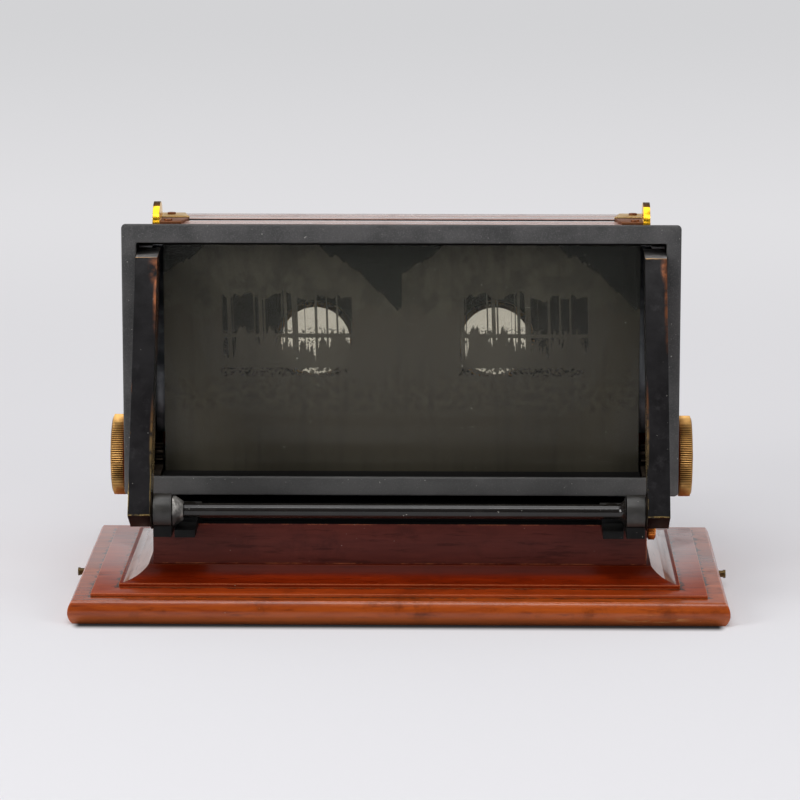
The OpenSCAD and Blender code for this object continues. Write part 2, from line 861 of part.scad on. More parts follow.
septum_lead = 1;
module septum() {
    color("#1b1918") span([-septum_t / 2, hood_front - septum_lead, carriage_z + carriage_t],
        [septum_t / 2, board_front, carriage_top_z - carriage_t]);
}

// Racks: straight-sided teeth that a pinion rolls on, with a plain bar behind them
pitch = PI * tooth_m;
pressure = 20;
slack = 0.12;
rack_lead = 0.8;
rack_front = box_front + rack_lead;
toothed_past = 6;
toothed_to = spindle_y + toothed_past;
rack_half = pitch / 4 - slack / 2;
first_tooth = ceil((rack_front - spindle_y) / pitch);
last_tooth = floor((toothed_to - spindle_y) / pitch) - 1;
module rack(side) {
    root_half = rack_half + (pitch_z - root_z) * tan(pressure);
    tip_half = rack_half - tooth_tip * tan(pressure);
    color("#b4873c") difference() {
        pair(side) along_x(rack_in, rack_out) {
            translate([rack_front, carriage_z]) square([rack_tail - rack_front, root_z - carriage_z]);
            for (i = [first_tooth : last_tooth]) translate([spindle_y + (i + 0.5) * pitch, 0]) polygon([
                [-root_half, root_z - root_room], [root_half, root_z - root_room], [root_half, root_z],
                [tip_half, pitch_z + tooth_tip], [-tip_half, pitch_z + tooth_tip], [-root_half, root_z]
            ]);
        }
        rack_screw_bores();
    }
}
module rack_left() { rack(-1); }
module rack_right() { rack(1); }
module rack_screws() {
    color("#8c6a30") at_rack_screws() translate([0, 0, -rack_screw_head_t])
        screw(rack_screw_l - rack_screw_head_t - run, rack_screw_r, rack_screw_head_r, rack_screw_head_t);
}

// Eyepieces
tube_lead = 2.5;
tube_front = lens_y - tube_lead;
tube_stub = 3;
tube_back = board_back + tube_stub;
lens_edge = 2;
ring_l = 2;
glass_index = 1.52;
surface_r = 2 * (glass_index - 1) * focal_length;
function sag(r) = surface_r - sqrt(pow(surface_r, 2) - pow(r, 2));
lens_half = lens_edge / 2 + sag(lens_r);
lens_seat = lens_half - sag(view_r) + 0.02;
module eyepiece_tube(side) {
    color("#9a7434") difference() {
        translate([side * lens_spacing / 2, 0, lens_z]) turned_y() difference() {
            union() {
                translate([0, tube_front]) square([tube_r, tube_back - tube_front]);
                translate([0, board_back]) square([flange_r, flange_t]);
            }
            translate([0, tube_front - over]) square([view_r, tube_back - tube_front + 2 * over]);
            translate([0, lens_y - lens_seat]) square([lens_r + snug, tube_back]);
        }
        flange_screw_bores();
    }
}
module eyepiece_tube_left() { eyepiece_tube(-1); }
module eyepiece_tube_right() { eyepiece_tube(1); }

// Each lens bulges alike on both faces
lens_facets = 720;
module lens(side) {
    color("#dfe9ea") translate([side * lens_spacing / 2, lens_y, lens_z]) turned_y() intersection() {
        translate([0, -lens_half]) square([lens_r, 2 * lens_half]);
        translate([0, surface_r - lens_half]) circle(r = surface_r, $fn = lens_facets);
        translate([0, lens_half - surface_r]) circle(r = surface_r, $fn = lens_facets);
    }
}
module lens_left() { lens(-1); }
module lens_right() { lens(1); }
module lens_rings() {
    color("#3a2f1e") at_eyepieces() turned_y() translate([view_r, lens_y + lens_seat])
        square([lens_r - view_r, ring_l]);
}

// Turned black eyecups that slip over the tubes
cup_l = 10;
cup_flare = 5;
cup_r = tube_r + cup_flare;
cup_foot = 2.2;
cup_waist = 2.6;
cup_waist_l = 3;
cup_lip = 0.6;
cup_gap = 0.2;
module eyecup(side) {
    front = board_back + flange_t;
    back = front + cup_l;
    color("#161414") translate([side * lens_spacing / 2, 0, lens_z]) turned_y() polygon([
        [tube_r + snug, front], [tube_r + cup_foot, front], [tube_r + cup_waist, front + cup_waist_l],
        [cup_r, back - cup_lip], [cup_r - cup_lip, back], [cup_r - 2.5 * cup_lip, back],
        [tube_r + cup_lip, tube_back + cup_gap], [tube_r + snug, tube_back + cup_gap]
    ]);
}
module eyecup_left() { eyecup(-1); }
module eyecup_right() { eyecup(1); }
module flange_screws() {
    color("#6b5224") at_flange_screws()
        screw(flange_screw_l + flange_t - run, flange_screw_r, flange_screw_head_r, flange_screw_head_t);
}

// Spindle with its two pinions, whose flanks are involutes of the base circle
base_r = pitch_r * cos(pressure);
tooth_half_deg = rack_half / pitch_r * 180 / PI;
function roll(r) = sqrt(pow(r / base_r, 2) - 1) * 180 / PI - acos(base_r / r);
function flank(r, s, i) = let (a = i * 360 / teeth - 90 + s * (tooth_half_deg + roll(pitch_r) - roll(r)))
    [r * cos(a), r * sin(a)];
tip_r = pitch_r + tooth_m;
root_r = pitch_r - tooth_tip - root_room;
steps = 5;
function tooth(i) = concat(
    [flank(base_r, -1, i) * root_r / base_r],
    [for (k = [0 : steps]) flank(base_r + (tip_r - base_r) * k / steps, -1, i)],
    [for (k = [steps : -1 : 0]) flank(base_r + (tip_r - base_r) * k / steps, 1, i)],
    [flank(base_r, 1, i) * root_r / base_r]
);
pinion_in = rack_in + rack_side;
pinion_out = rack_out - rack_side;
wheel_gap = bush_flange_t + run;
hub_l = 0.4;
wheel_in = box_out + wheel_gap + hub_l;
wheel_floor = 1.5;
spindle_end = wheel_in + wheel_t - wheel_floor;
module focus_spindle() {
    color("#b98a3e") translate([0, spindle_y, spindle_z]) difference() {
        union() {
            bar_x(-spindle_end, spindle_end, spindle_r);
            for (s = [-1, 1]) pair(s) along_x(pinion_in, pinion_out)
                polygon([for (i = [0 : teeth - 1]) each tooth(i)]);
        }
        for (s = [-1, 1]) pair(s)
            bar_x(spindle_end - wheel_screw_l, spindle_end + over, wheel_screw_r + snug);
    }
}

// Milled wheels: a dished face, a boss and the screw in its middle
wheel_rim = 3;
dish_r = wheel_r - wheel_rim;
dish = 1;
boss_r = 4.5;
hub_step = 2.5;
wheel_mill = 0.4;
boss_drop = 0.2;
wheel_screw_l = 5;
wheel_screw_r = 1;
wheel_screw_head_r = 2.6;
wheel_screw_head_t = 0.9;
module focus_wheel(side) {
    outer = wheel_in + wheel_t;
    color("#b8893a") pair(side) translate([0, spindle_y, spindle_z]) {
        difference() {
            union() {
                bar_x(wheel_in - hub_l, wheel_in + over, boss_r + hub_step);
                milled_disc(wheel_in, wheel_t, wheel_r, ridges, wheel_mill);
            }
            difference() {
                bar_x(outer - dish, outer + over, dish_r);
                bar_x(outer - 2 * dish, outer - boss_drop, boss_r);
            }
            bar_x(wheel_in - 2 * hub_l, spindle_end, spindle_r + snug);
            bar_x(wheel_in, outer + over, wheel_screw_r + snug);
        }
        translate([outer - boss_drop, 0, 0]) rotate([0, 90, 0])
            screw(spindle_end - outer + wheel_screw_l - run + 2 * dish, wheel_screw_r,
                wheel_screw_head_r, wheel_screw_head_t);
    }
}
module focus_wheel_left() { focus_wheel(-1); }
module focus_wheel_right() { focus_wheel(1); }

// The slide's two glasses: the picture glass faces the lenses, the cover faces the light
module slide_picture() {
    color("#38342b") span([-slide_x, slide_y, slide_z], [slide_x, slide_y + glass_t, slide_top]);
}
module slide_cover() {
    color("#57524a") span([-slide_x, slide_y - glass_t, slide_z], [slide_x, slide_y, slide_top]);
}

plinth_slab();
plinth_panel();
cove_block();
pedestal();
plinth_screws();
catch_pin_left();
catch_pin_right();
pedestal_cloth();
rest_strip();
lug_left();
lug_right();
lug_screws();
clamp_knob();
tie_rod();
cone_nut();
thrust_washers();
arm_left();
arm_right();
arm_screws();
bezel();
box_side_left();
box_side_right();
floor_board();
slide_sill();
top_board_front();
top_board_back();
slot_ends();
slot_guide_left();
slot_guide_right();
guide_screws();
side_spring_left();
side_spring_right();
mask_board();
spindle_bushes();
back_rail();
hood_side_left();
hood_side_right();
hood_top();
carriage_top();
carriage_floor();
carriage_side_left();
carriage_side_right();
lens_board();
septum();
rack_left();
rack_right();
rack_screws();
eyepiece_tube_left();
eyepiece_tube_right();
lens_left();
lens_right();
lens_rings();
eyecup_left();
eyecup_right();
flange_screws();
focus_spindle();
focus_wheel_left();
focus_wheel_right();
slide_picture();
slide_cover();
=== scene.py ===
# %% [markdown]
# # A stereoscope for glass slides
# The wooden head stands on a moulded plinth and tilts on two leaning arms. The engineering model
# arrives as a frame of fixed nodes. This lesson dresses it: it makes the studio, then the finishes,
# then each piece, and every piece rides on the body that carries it.

# %% Load the frame
import json
from math import radians

import bpy
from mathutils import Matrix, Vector

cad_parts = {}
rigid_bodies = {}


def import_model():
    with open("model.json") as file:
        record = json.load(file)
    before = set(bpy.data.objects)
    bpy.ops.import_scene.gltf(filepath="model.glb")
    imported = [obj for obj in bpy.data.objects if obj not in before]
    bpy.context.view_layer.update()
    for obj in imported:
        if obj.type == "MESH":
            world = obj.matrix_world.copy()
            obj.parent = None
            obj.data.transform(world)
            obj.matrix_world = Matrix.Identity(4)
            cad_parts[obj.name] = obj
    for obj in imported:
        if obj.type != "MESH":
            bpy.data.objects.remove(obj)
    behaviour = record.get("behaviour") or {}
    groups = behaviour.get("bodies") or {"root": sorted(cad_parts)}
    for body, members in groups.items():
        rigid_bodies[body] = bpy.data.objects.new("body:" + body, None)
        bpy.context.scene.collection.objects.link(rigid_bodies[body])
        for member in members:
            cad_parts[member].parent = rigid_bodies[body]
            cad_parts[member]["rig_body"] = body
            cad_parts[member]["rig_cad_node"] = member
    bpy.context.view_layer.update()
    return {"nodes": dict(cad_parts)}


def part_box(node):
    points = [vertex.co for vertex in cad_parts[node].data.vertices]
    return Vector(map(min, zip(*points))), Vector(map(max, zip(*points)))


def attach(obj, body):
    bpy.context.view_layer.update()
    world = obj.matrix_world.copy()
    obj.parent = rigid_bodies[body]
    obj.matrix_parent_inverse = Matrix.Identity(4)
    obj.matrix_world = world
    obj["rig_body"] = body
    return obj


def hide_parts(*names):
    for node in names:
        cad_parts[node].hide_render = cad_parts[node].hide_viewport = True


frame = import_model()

mm = 0.001
nodes = frame["nodes"]
print("nodes in the frame:", len(nodes))

# %% [markdown]
# ## The camera
# The photograph looks at the slide end from 1.4 m away and a little above, along the tilt and turn
# that its plinth edges give. A long lens keeps the sides nearly parallel.

# %% Camera
camera_place = Vector((22.9, -1366.6, 323.4)) * mm
bpy.ops.object.camera_add(location=camera_place, rotation=(radians(79.4), 0, radians(0.98)))
camera = bpy.context.object
camera.data.sensor_width = 36
camera.data.lens = 175.5
camera.data.clip_end = 50
bpy.context.scene.camera = camera
bpy.context.scene.view_settings.view_transform = "Standard"
print("camera is", round(camera_place.length, 2), "m away")

# %% [markdown]
# ## Helpers
# An operator works on all that is selected, so each helper begins by clearing the selection. A
# finished piece keeps its place in its mesh, with its object at the origin, as the frame's nodes do.

# %% Helpers for selection and placing


def pick(thing):
    """Selects one object alone and makes it active."""
    if bpy.context.object and bpy.context.object.mode != "OBJECT":
        bpy.ops.object.mode_set(mode="OBJECT")
    bpy.ops.object.select_all(action="DESELECT")
    thing.select_set(True)
    bpy.context.view_layer.objects.active = thing
    return thing


def settle(thing, name, angle=35):
    """Names a piece, moves its place into its mesh and smooths the faces that meet gently."""
    pick(thing)
    bpy.ops.object.transform_apply(location=True, rotation=True, scale=True)
    bpy.ops.object.shade_smooth_by_angle(angle=radians(angle))
    thing.name = name
    thing.data.name = name
    return thing


def round_edges(thing, width, segments=2, angle=30):
    """Rounds every edge sharper than the angle."""
    pick(thing)
    bevel = thing.modifiers.new("eased edges", "BEVEL")
    bevel.width = width
    bevel.segments = segments
    bevel.limit_method = "ANGLE"
    bevel.angle_limit = radians(angle)
    bpy.ops.object.modifier_apply(modifier=bevel.name)
    return thing


def dress(thing, *materials):
    """Gives a piece its materials, the first one on every face."""
    thing.data.materials.clear()
    for material in materials:
        thing.data.materials.append(material)
    for face in thing.data.polygons:
        face.material_index = 0
    return thing


def face_finish(thing, index, wanted):
    """Puts another of the piece's materials on the faces for which wanted(centre, normal) is true."""
    for face in thing.data.polygons:
        if wanted(face.center, face.normal):
            face.material_index = index


def eased(node, width, *materials, segments=2, joined=True):
    """A copy of a node that stands for it, merged and with its edges rounded by the width.

    Its level faces are joined first, except on small rings, where the joined face would fold over."""
    source = nodes[node]
    piece = source.copy()
    piece.data = source.data.copy()
    bpy.context.scene.collection.objects.link(piece)
    piece.parent = None
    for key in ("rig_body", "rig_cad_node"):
        del piece[key]
    pick(piece)
    bpy.ops.mesh.customdata_custom_splitnormals_clear()
    bpy.ops.object.mode_set(mode="EDIT")
    bpy.ops.mesh.select_all(action="SELECT")
    bpy.ops.mesh.remove_doubles(threshold=0.002 * mm)
    if joined and width:
        bpy.ops.mesh.dissolve_limited(angle_limit=radians(0.3))
    if width:
        round_edges(piece, width, segments)
    bpy.ops.object.mode_set(mode="OBJECT")
    settle(piece, node + "_finished")
    dress(piece, *materials)
    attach(piece, source["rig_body"])
    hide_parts(node)
    print(piece.name + ":", len(piece.data.polygons), "faces")
    return piece


print("helpers for pieces are ready")

# %% [markdown]
# ## The studio
# The photograph has a pale seamless ground, brighter near the camera. A large floor carries that tone. Part
# of it is plain emission for what the camera, a mirror or a lens sees, so the ground stays pale without more
# light on the object, and the rest catches the soft shadow. Under the slab's rounded lower edge a band of
# deep shade is painted into the ground's colour and its glow.

# %% Node helpers


def new_material(name):
    """A material with one Principled shader; returns the material, its tree and the shader."""
    material = bpy.data.materials.new(name)
    material.use_nodes = True
    tree = material.node_tree
    shader = tree.nodes["Principled BSDF"]
    return material, tree, shader


def add(tree, kind, **settings):
    """Adds a node and sets its properties."""
    node = tree.nodes.new("ShaderNode" + kind)
    for key, value in settings.items():
        setattr(node, key, value)
    return node


def feed(tree, socket, value):
    """Links an output to the socket, or writes a plain value there."""
    if isinstance(value, bpy.types.NodeSocket):
        tree.links.new(value, socket)
    else:
        socket.default_value = value


def maths(tree, operation, *values):
    """One step of arithmetic on numbers or outputs."""
    node = add(tree, "Math", operation=operation)
    for socket, value in zip(node.inputs, values):
        feed(tree, socket, value)
    return node.outputs[0]


def times(tree, product, *others):
    """The product of two or more values."""
    for other in others:
        product = maths(tree, "MULTIPLY", product, other)
    return product


def plus(tree, total, *others):
    """The sum of two or more values."""
    for other in others:
        total = maths(tree, "ADD", total, other)
    return total


def most(tree, largest, *others):
    """The largest of two or more values."""
    for other in others:
        largest = maths(tree, "MAXIMUM", largest, other)
    return largest


def minus(tree, value, other):
    """The first value less the other."""
    return maths(tree, "SUBTRACT", value, other)


def size_of(tree, value):
    """The value without its sign."""
    return maths(tree, "ABSOLUTE", value)


def ramp(tree, value, low, high, out_low=0.0, out_high=1.0):
    """Maps low..high to out_low..out_high with soft ends."""
    node = add(tree, "MapRange", interpolation_type="SMOOTHSTEP")
    for socket, number in zip(node.inputs, (value, low, high, out_low, out_high)):
        feed(tree, socket, number)
    return node.outputs[0]


def blend_colour(tree, factor, first, second, kind="MIX"):
    """The first colour at factor 0 and the second one, or their product, at factor 1."""
    node = add(tree, "Mix", data_type="RGBA", blend_type=kind)
    feed(tree, node.inputs["Factor"], factor)
    feed(tree, node.inputs["A"], first)
    feed(tree, node.inputs["B"], second)
    return node.outputs["Result"]


def rgba(red, green, blue):
    """A linear colour from the 0-255 values that a picture shows."""
    def linear(value):
        value = value / 255
        return value / 12.92 if value <= 0.04045 else ((value + 0.055) / 1.055) ** 2.4
    return (linear(red), linear(green), linear(blue), 1)


def own_place(tree):
    """Each point's place on its piece, in metres; it stays the same when a joint moves the piece."""
    return add(tree, "TexCoord").outputs["Object"]


def axes_of(tree, place):
    """The X, Y and Z of a place."""
    split = add(tree, "SeparateXYZ")
    feed(tree, split.inputs[0], place)
    return split.outputs["X"], split.outputs["Y"], split.outputs["Z"]


def noise(tree, place, scale, detail=5, roughness=0.6):
    """Cloudy noise around 0.5, with more features to the metre at a larger scale."""
    node = add(tree, "TexNoise")
    feed(tree, node.inputs["Vector"], place)
    feed(tree, node.inputs["Scale"], scale)
    node.inputs["Detail"].default_value = detail
    node.inputs["Roughness"].default_value = roughness
    return node.outputs["Fac"]


def fine_noise(tree, place, scale, low, high, detail=5, roughness=0.6):
    """A noise mask that runs from 0 at the low value to 1 at the high one."""
    return ramp(tree, noise(tree, place, scale, detail, roughness), low, high)


def raise_surface(tree, shader, height, strength, depth):
    """Makes the light see the height as relief of the depth."""
    bump = add(tree, "Bump")
    bump.inputs["Strength"].default_value = strength
    bump.inputs["Distance"].default_value = depth
    feed(tree, bump.inputs["Height"], height)
    feed(tree, shader.inputs["Normal"], bump.outputs["Normal"])


print("helpers for nodes are ready")

# %% Floor
floor_size = 12
near_tone = rgba(231, 230, 233)
far_tone = rgba(211, 211, 213)
tone_reach = 2.4
reflectance = 0.94
bpy.ops.mesh.primitive_plane_add(size=floor_size, location=(0, 2, 0))
floor = settle(bpy.context.object, "floor")
material, tree, shader = new_material("pale ground")
sideways, depth, _ = axes_of(tree, own_place(tree))
tone = blend_colour(tree, ramp(tree, depth, 0.0, tone_reach), near_tone, far_tone)
shader.inputs["Roughness"].default_value = 0.9
shader.inputs["Specular IOR Level"].default_value = 0.1
print("floor:", floor_size, "m wide")

# %% Painted shade under the slab's edge
# The painted shade ends short of the slab's corners, which are rounded, and fades twice as fast there.
corner_gap = 4.5 * mm
corner_speed = 2.0
shade_start, shade_end = 0.6 * mm, 7.2 * mm
deepest = 0.03
slab_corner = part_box("plinth_slab")[1]
beside = most(tree, minus(tree, size_of(tree, sideways), slab_corner.x - corner_gap), 0)
beside = times(tree, beside, corner_speed)
before = most(tree, minus(tree, size_of(tree, depth), slab_corner.y), 0)
distance = maths(tree, "SQRT", plus(tree, times(tree, beside, beside), times(tree, before, before)))
painted_contact_shade = ramp(tree, distance, shade_start, shade_end, deepest, 1.0)
painted_shade_reflectance = times(tree, painted_contact_shade, reflectance)
feed(tree, shader.inputs["Base Color"], blend_colour(tree, 1.0, tone, painted_shade_reflectance, "MULTIPLY"))
print("shade reaches", round(shade_end / mm, 1), "mm")

# %% The floor's own light
near_share, far_share = 0.15, 1.0
glow = add(tree, "Emission")
feed(tree, glow.inputs["Color"], tone)
path = add(tree, "LightPath")
seen = most(tree, path.outputs["Is Camera Ray"], path.outputs["Is Glossy Ray"],
            path.outputs["Is Transmission Ray"])
# The painted shade under the slab darkens the glow too.
share = times(tree, seen, ramp(tree, depth, 0.0, 1.0, near_share, far_share), painted_contact_shade)
mix = add(tree, "MixShader")
feed(tree, mix.inputs[0], share)
tree.links.new(shader.outputs[0], mix.inputs[1])
tree.links.new(glow.outputs[0], mix.inputs[2])
tree.links.new(mix.outputs[0], tree.nodes["Material Output"].inputs["Surface"])
dress(floor, material)
print("floor glows by", near_share, "near the object and", far_share, "far behind it")

# %% [markdown]
# Each part of the room has its task. The pale wall behind the object puts a sheen on the level tops,
# and the dim front keeps the upright faces deep. The front box is low and long: it draws the line of
# light along the rod and along each moulding.

# %% Room and lamps
world = bpy.data.worlds.new("studio")
bpy.context.scene.world = world
world.use_nodes = True
tree = world.node_tree
sky = tree.nodes["Background"]
dim_level, wall_level, ceiling_level = 0.09, 0.60, 0.6
direction = axes_of(tree, add(tree, "TexCoord").outputs["Generated"])
backward = ramp(tree, direction[1], -0.2, 0.5)
low = ramp(tree, direction[2], 0.25, 0.55, 1.0, 0.3)
wall = times(tree, low, wall_level, backward)
ceiling = ramp(tree, direction[2], 0.6, 0.95, 0.0, ceiling_level)
level = plus(tree, wall, ceiling, dim_level)
sky.inputs["Color"].default_value = rgba(252, 252, 255)
feed(tree, sky.inputs["Strength"], level)


def soft_box(name, place, width, height, power):
    """A rectangular lamp, its sides in metres and its power in watts, that faces the object."""
    middle = Vector((0, 0.02, 0.07))
    bpy.ops.object.light_add(type="AREA", location=place)
    lamp = bpy.context.object
    lamp.name = name
    lamp.data.shape = "RECTANGLE"
    lamp.data.size = width
    lamp.data.size_y = height
    lamp.data.energy = power
    lamp.rotation_euler = (middle - Vector(place)).to_track_quat("-Z", "Y").to_euler()


soft_box("top box", (-0.1, 0.1, 1.5), width=1.3, height=0.9, power=6)
soft_box("front box", (-0.1, -0.7, 1.35), width=1.4, height=0.28, power=5.4)
soft_box("left box", (-1.3, -1.0, 0.7), width=0.6, height=0.9, power=13)
soft_box("right box", (1.3, -1.0, 0.7), width=0.6, height=0.9, power=6.8)
print("lamps:", [lamp.name for lamp in bpy.data.lights])

# %% [markdown]
# ## Shared effects
# Four effects serve several finishes, so each is a node group with named sockets: the grain of polished wood,
# the wear along edges, the faint clouds of old polish, and dirt with painted shade in the seams.

# %% Group builder


def new_group(name, inputs, outputs):
    """A node group with its sockets; returns the group, its input node and its output node."""
    group = bpy.data.node_groups.new(name, "ShaderNodeTree")
    for title, kind, value in inputs:
        socket = group.interface.new_socket(title, in_out="INPUT", socket_type="NodeSocket" + kind)
        if value is not None:
            socket.default_value = value
    for title, kind in outputs:
        group.interface.new_socket(title, in_out="OUTPUT", socket_type="NodeSocket" + kind)
    entry = group.nodes.new("NodeGroupInput")
    leave = group.nodes.new("NodeGroupOutput")
    return group, entry, leave


def use(tree, group, **values):
    """Places a group in a tree and fills its inputs; spaces in socket names are written as _."""
    node = tree.nodes.new("ShaderNodeGroup")
    node.node_tree = group
    for key, value in values.items():
        feed(tree, node.inputs[key.replace("_", " ")], value)
    return node


print("group builder is ready")

# %% Wood grain
group, entry, leave = new_group(
    "wood grain",
    [("Place", "Vector", None), ("Light", "Color", (0.4, 0.15, 0.06, 1)),
     ("Dark", "Color", (0.15, 0.04, 0.02, 1))],
    [("Color", "Color"), ("Height", "Float"), ("Roughness", "Float")])
wood_group = group
place = entry.outputs["Place"]
drift = noise(group, place, 22, 4, 0.5)
bands = add(group, "TexWave", wave_type="BANDS", bands_direction="Z")
feed(group, bands.inputs["Vector"], place)
for title, value in (("Scale", 110), ("Distortion", 14), ("Detail", 4), ("Detail Scale", 2.2)):
    bands.inputs[title].default_value = value
pore_mask = fine_noise(group, place, 520, 0.53, 0.66, 5, 0.7)
broad = ramp(group, drift, 0.32, 0.68)
figure = fine_noise(group, place, 110, 0.36, 0.64, 8, 0.75)
lines = plus(group, times(group, bands.outputs["Fac"], 0.15), times(group, figure, 0.4))
mixed = plus(group, times(group, broad, 0.45), lines)
tint = blend_colour(group, mixed, entry.outputs["Dark"], entry.outputs["Light"])
pore_colour = blend_colour(group, 1.0, tint, (0.35, 0.25, 0.2, 1), "MULTIPLY")
tint = blend_colour(group, times(group, pore_mask, 0.55), tint, pore_colour)
feed(group, leave.inputs["Color"], tint)
feed(group, leave.inputs["Height"], minus(group, 1.0, pore_mask))
feed(group, leave.inputs["Roughness"], ramp(group, drift, 0.3, 0.7, 0.26, 0.40))
print("wood grain nodes:", len(group.nodes))

# %% Edge wear
group, entry, leave = new_group(
    "edge wear",
    [("Place", "Vector", None), ("Width", "Float", 0.5 * mm), ("Amount", "Float", 0.5)],
    [("Mask", "Float")])
wear_group = group
rounded = add(group, "Bevel", samples=4)
feed(group, rounded.inputs["Radius"], entry.outputs["Width"])
flat = add(group, "NewGeometry")
turn = add(group, "VectorMath", operation="DOT_PRODUCT")
group.links.new(rounded.outputs["Normal"], turn.inputs[0])
group.links.new(flat.outputs["Normal"], turn.inputs[1])
bend = minus(group, 1.0, turn.outputs["Value"])
patchy = noise(group, entry.outputs["Place"], 160, 6, 0.65)
limit = minus(group, 0.75, entry.outputs["Amount"])
worn = ramp(group, patchy, limit, plus(group, limit, 0.12))
edge = ramp(group, bend, 0.01, 0.07)
feed(group, leave.inputs["Mask"], times(group, worn, edge))
print("edge wear nodes:", len(group.nodes))

# %% Old polish
group, entry, leave = new_group(
    "old polish",
    [("Place", "Vector", None), ("Scale", "Float", 60.0), ("Low", "Float", 0.2), ("High", "Float", 0.4)],
    [("Roughness", "Float"), ("Cloud", "Float")])
polish_group = group
cloud = noise(group, entry.outputs["Place"], entry.outputs["Scale"], 8, 0.62)
clear, thick = 0.35, 0.65
feed(group, leave.inputs["Cloud"], ramp(group, cloud, clear, thick))
feed(group, leave.inputs["Roughness"],
     ramp(group, cloud, clear, thick, entry.outputs["Low"], entry.outputs["High"]))
print("old polish nodes:", len(group.nodes))

# %% Dirt and painted shade in the seams
group, entry, leave = new_group(
    "seam dirt and shade",
    [("Place", "Vector", None), ("Half Width", "Float", 0.1), ("Half Depth", "Float", 0.1)],
    [("Mask", "Float")])
seam_dirt_and_shade_group = group
sideways, depth, _ = axes_of(group, entry.outputs["Place"])
beside = minus(group, size_of(group, sideways), entry.outputs["Half Width"])
before = minus(group, size_of(group, depth), entry.outputs["Half Depth"])
outside = size_of(group, most(group, beside, before))
narrowest, widest = 0.4 * mm, 3.4 * mm
seam_edge_noise = noise(group, entry.outputs["Place"], 260, 5, 0.75)
reach = ramp(group, seam_edge_noise, 0.4, 0.72, narrowest, widest)
share = maths(group, "DIVIDE", outside, reach)
feed(group, leave.inputs["Mask"], ramp(group, share, 0.4, 1.0, 0.9, 0.0))
print("shared effects:", len(bpy.data.node_groups))

# %% [markdown]
# ## Wood
# Mahogany under old French polish: orange-brown, with dark pores that run along the grain. A face seen
# squarely keeps its full colour, and only a level top, seen at a low angle, turns pale with sheen. The top
# boards and the cove's ends are given paler colours besides, as painted sheen, and the slab's lower edge gets
# a paler band, as a painted reflection of the floor. The polish is two layers: a dull one with a low index of
# refraction, and a thin clear coat on it that draws the sharp lines of light. The grain follows each board's
# length, from a Mapping node that stretches the pattern along one axis. Dirt and painted shade darken the
# wood where two mouldings meet, and the cove is painted darker towards its top, as painted shade under the
# rod and the head.

# %% Mahogany
stretch = 0.12
along = {"X": (stretch, 1, 1), "Y": (1, stretch, 1), "Z": (1, 1, stretch)}
polish_index = 1.25


def near(tree, place, centre, reach):
    """A mask round a point, from 1 in its middle to 0 at the reach on each axis."""
    offset = add(tree, "VectorMath", operation="SUBTRACT")
    feed(tree, offset.inputs[0], place)
    offset.inputs[1].default_value = tuple(value * mm for value in centre)
    share = add(tree, "VectorMath", operation="DIVIDE")
    tree.links.new(offset.outputs[0], share.inputs[0])
    share.inputs[1].default_value = tuple(value * mm for value in reach)
    length = add(tree, "VectorMath", operation="LENGTH")
    tree.links.new(share.outputs[0], length.inputs[0])
    return ramp(tree, length.outputs["Value"], 0.3, 1.0, 1.0, 0.0)


def polished_wood(name, axis, light, dark, seed, coat=0.45, edges=0.3, stain=0.6,
                  index=polish_index, seam=None, rubbed=None, painted_shade_span=None):
    """Wood with its grain along one axis.

    Seam names the node round whose outline the wood is darkened by dirt and painted shade; rubbed is the
    middle and the reach of a chipped spot, and it also turns on a paler band along the lower edge, a painted
    reflection of the floor; the wood is painted darker upward from the first height of painted_shade_span to
    the second, as painted shade."""
    material, tree, shader = new_material(name)
    place = own_place(tree)
    height = axes_of(tree, place)[2]
    mapping = add(tree, "Mapping")
    feed(tree, mapping.inputs["Vector"], place)
    mapping.inputs["Location"].default_value = (seed, seed, seed)
    mapping.inputs["Scale"].default_value = along[axis]
    grain = use(tree, wood_group, Place=mapping.outputs["Vector"], Light=light, Dark=dark)
    tint = grain.outputs["Color"]
    blotch = fine_noise(tree, place, 60, 0.50, 0.70, 8, 0.72)
    stained = blend_colour(tree, 1.0, tint, (0.45, 0.42, 0.45, 1), "MULTIPLY")
    tint = blend_colour(tree, times(tree, blotch, stain), tint, stained)
    wear = use(tree, wear_group, Place=place, Width=0.7 * mm, Amount=edges)
    tint = blend_colour(tree, times(tree, wear.outputs["Mask"], 0.6), tint, rgba(215, 130, 86))
    if rubbed:
        # Painted reflection of the floor: the slab's lowest millimetres are lightened towards the bottom.
        lower = ramp(tree, height, 1.5 * mm, 4.6 * mm, 0.5, 0.0)
        tint = blend_colour(tree, lower, tint, rgba(200, 112, 66))
        flakes = fine_noise(tree, mapping.outputs["Vector"], 420, 0.5, 0.58)
        chips = times(tree, near(tree, place, *rubbed), flakes, 0.8)
        tint = blend_colour(tree, chips, tint, rgba(214, 150, 96))
    # Painted shade: darker upward between the two heights.
    if painted_shade_span:
        tint = blend_colour(tree, ramp(tree, height, *painted_shade_span, 0.0, 0.75), tint, rgba(60, 14, 4))
    # Dirt and painted shade darken the wood round the seam's outline.
    if seam:
        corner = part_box(seam)[1]
        dirt = use(tree, seam_dirt_and_shade_group, Place=place, Half_Width=corner.x, Half_Depth=corner.y)
        tint = blend_colour(tree, dirt.outputs["Mask"], tint, rgba(38, 20, 12))
    dust = fine_noise(tree, place, 900, 0.77, 0.80, 2)
    tint = blend_colour(tree, times(tree, dust, 0.6), tint, rgba(205, 190, 175))
    feed(tree, shader.inputs["Base Color"], tint)
    feed(tree, shader.inputs["Roughness"], grain.outputs["Roughness"])
    shader.inputs["IOR"].default_value = index
    haze = minus(tree, 1.0, times(tree, blotch, 0.6))
    feed(tree, shader.inputs["Coat Weight"], times(tree, haze, coat))
    shader.inputs["Coat Roughness"].default_value = 0.1
    raise_surface(tree, shader, grain.outputs["Height"], 0.15, 0.05 * mm)
    return material


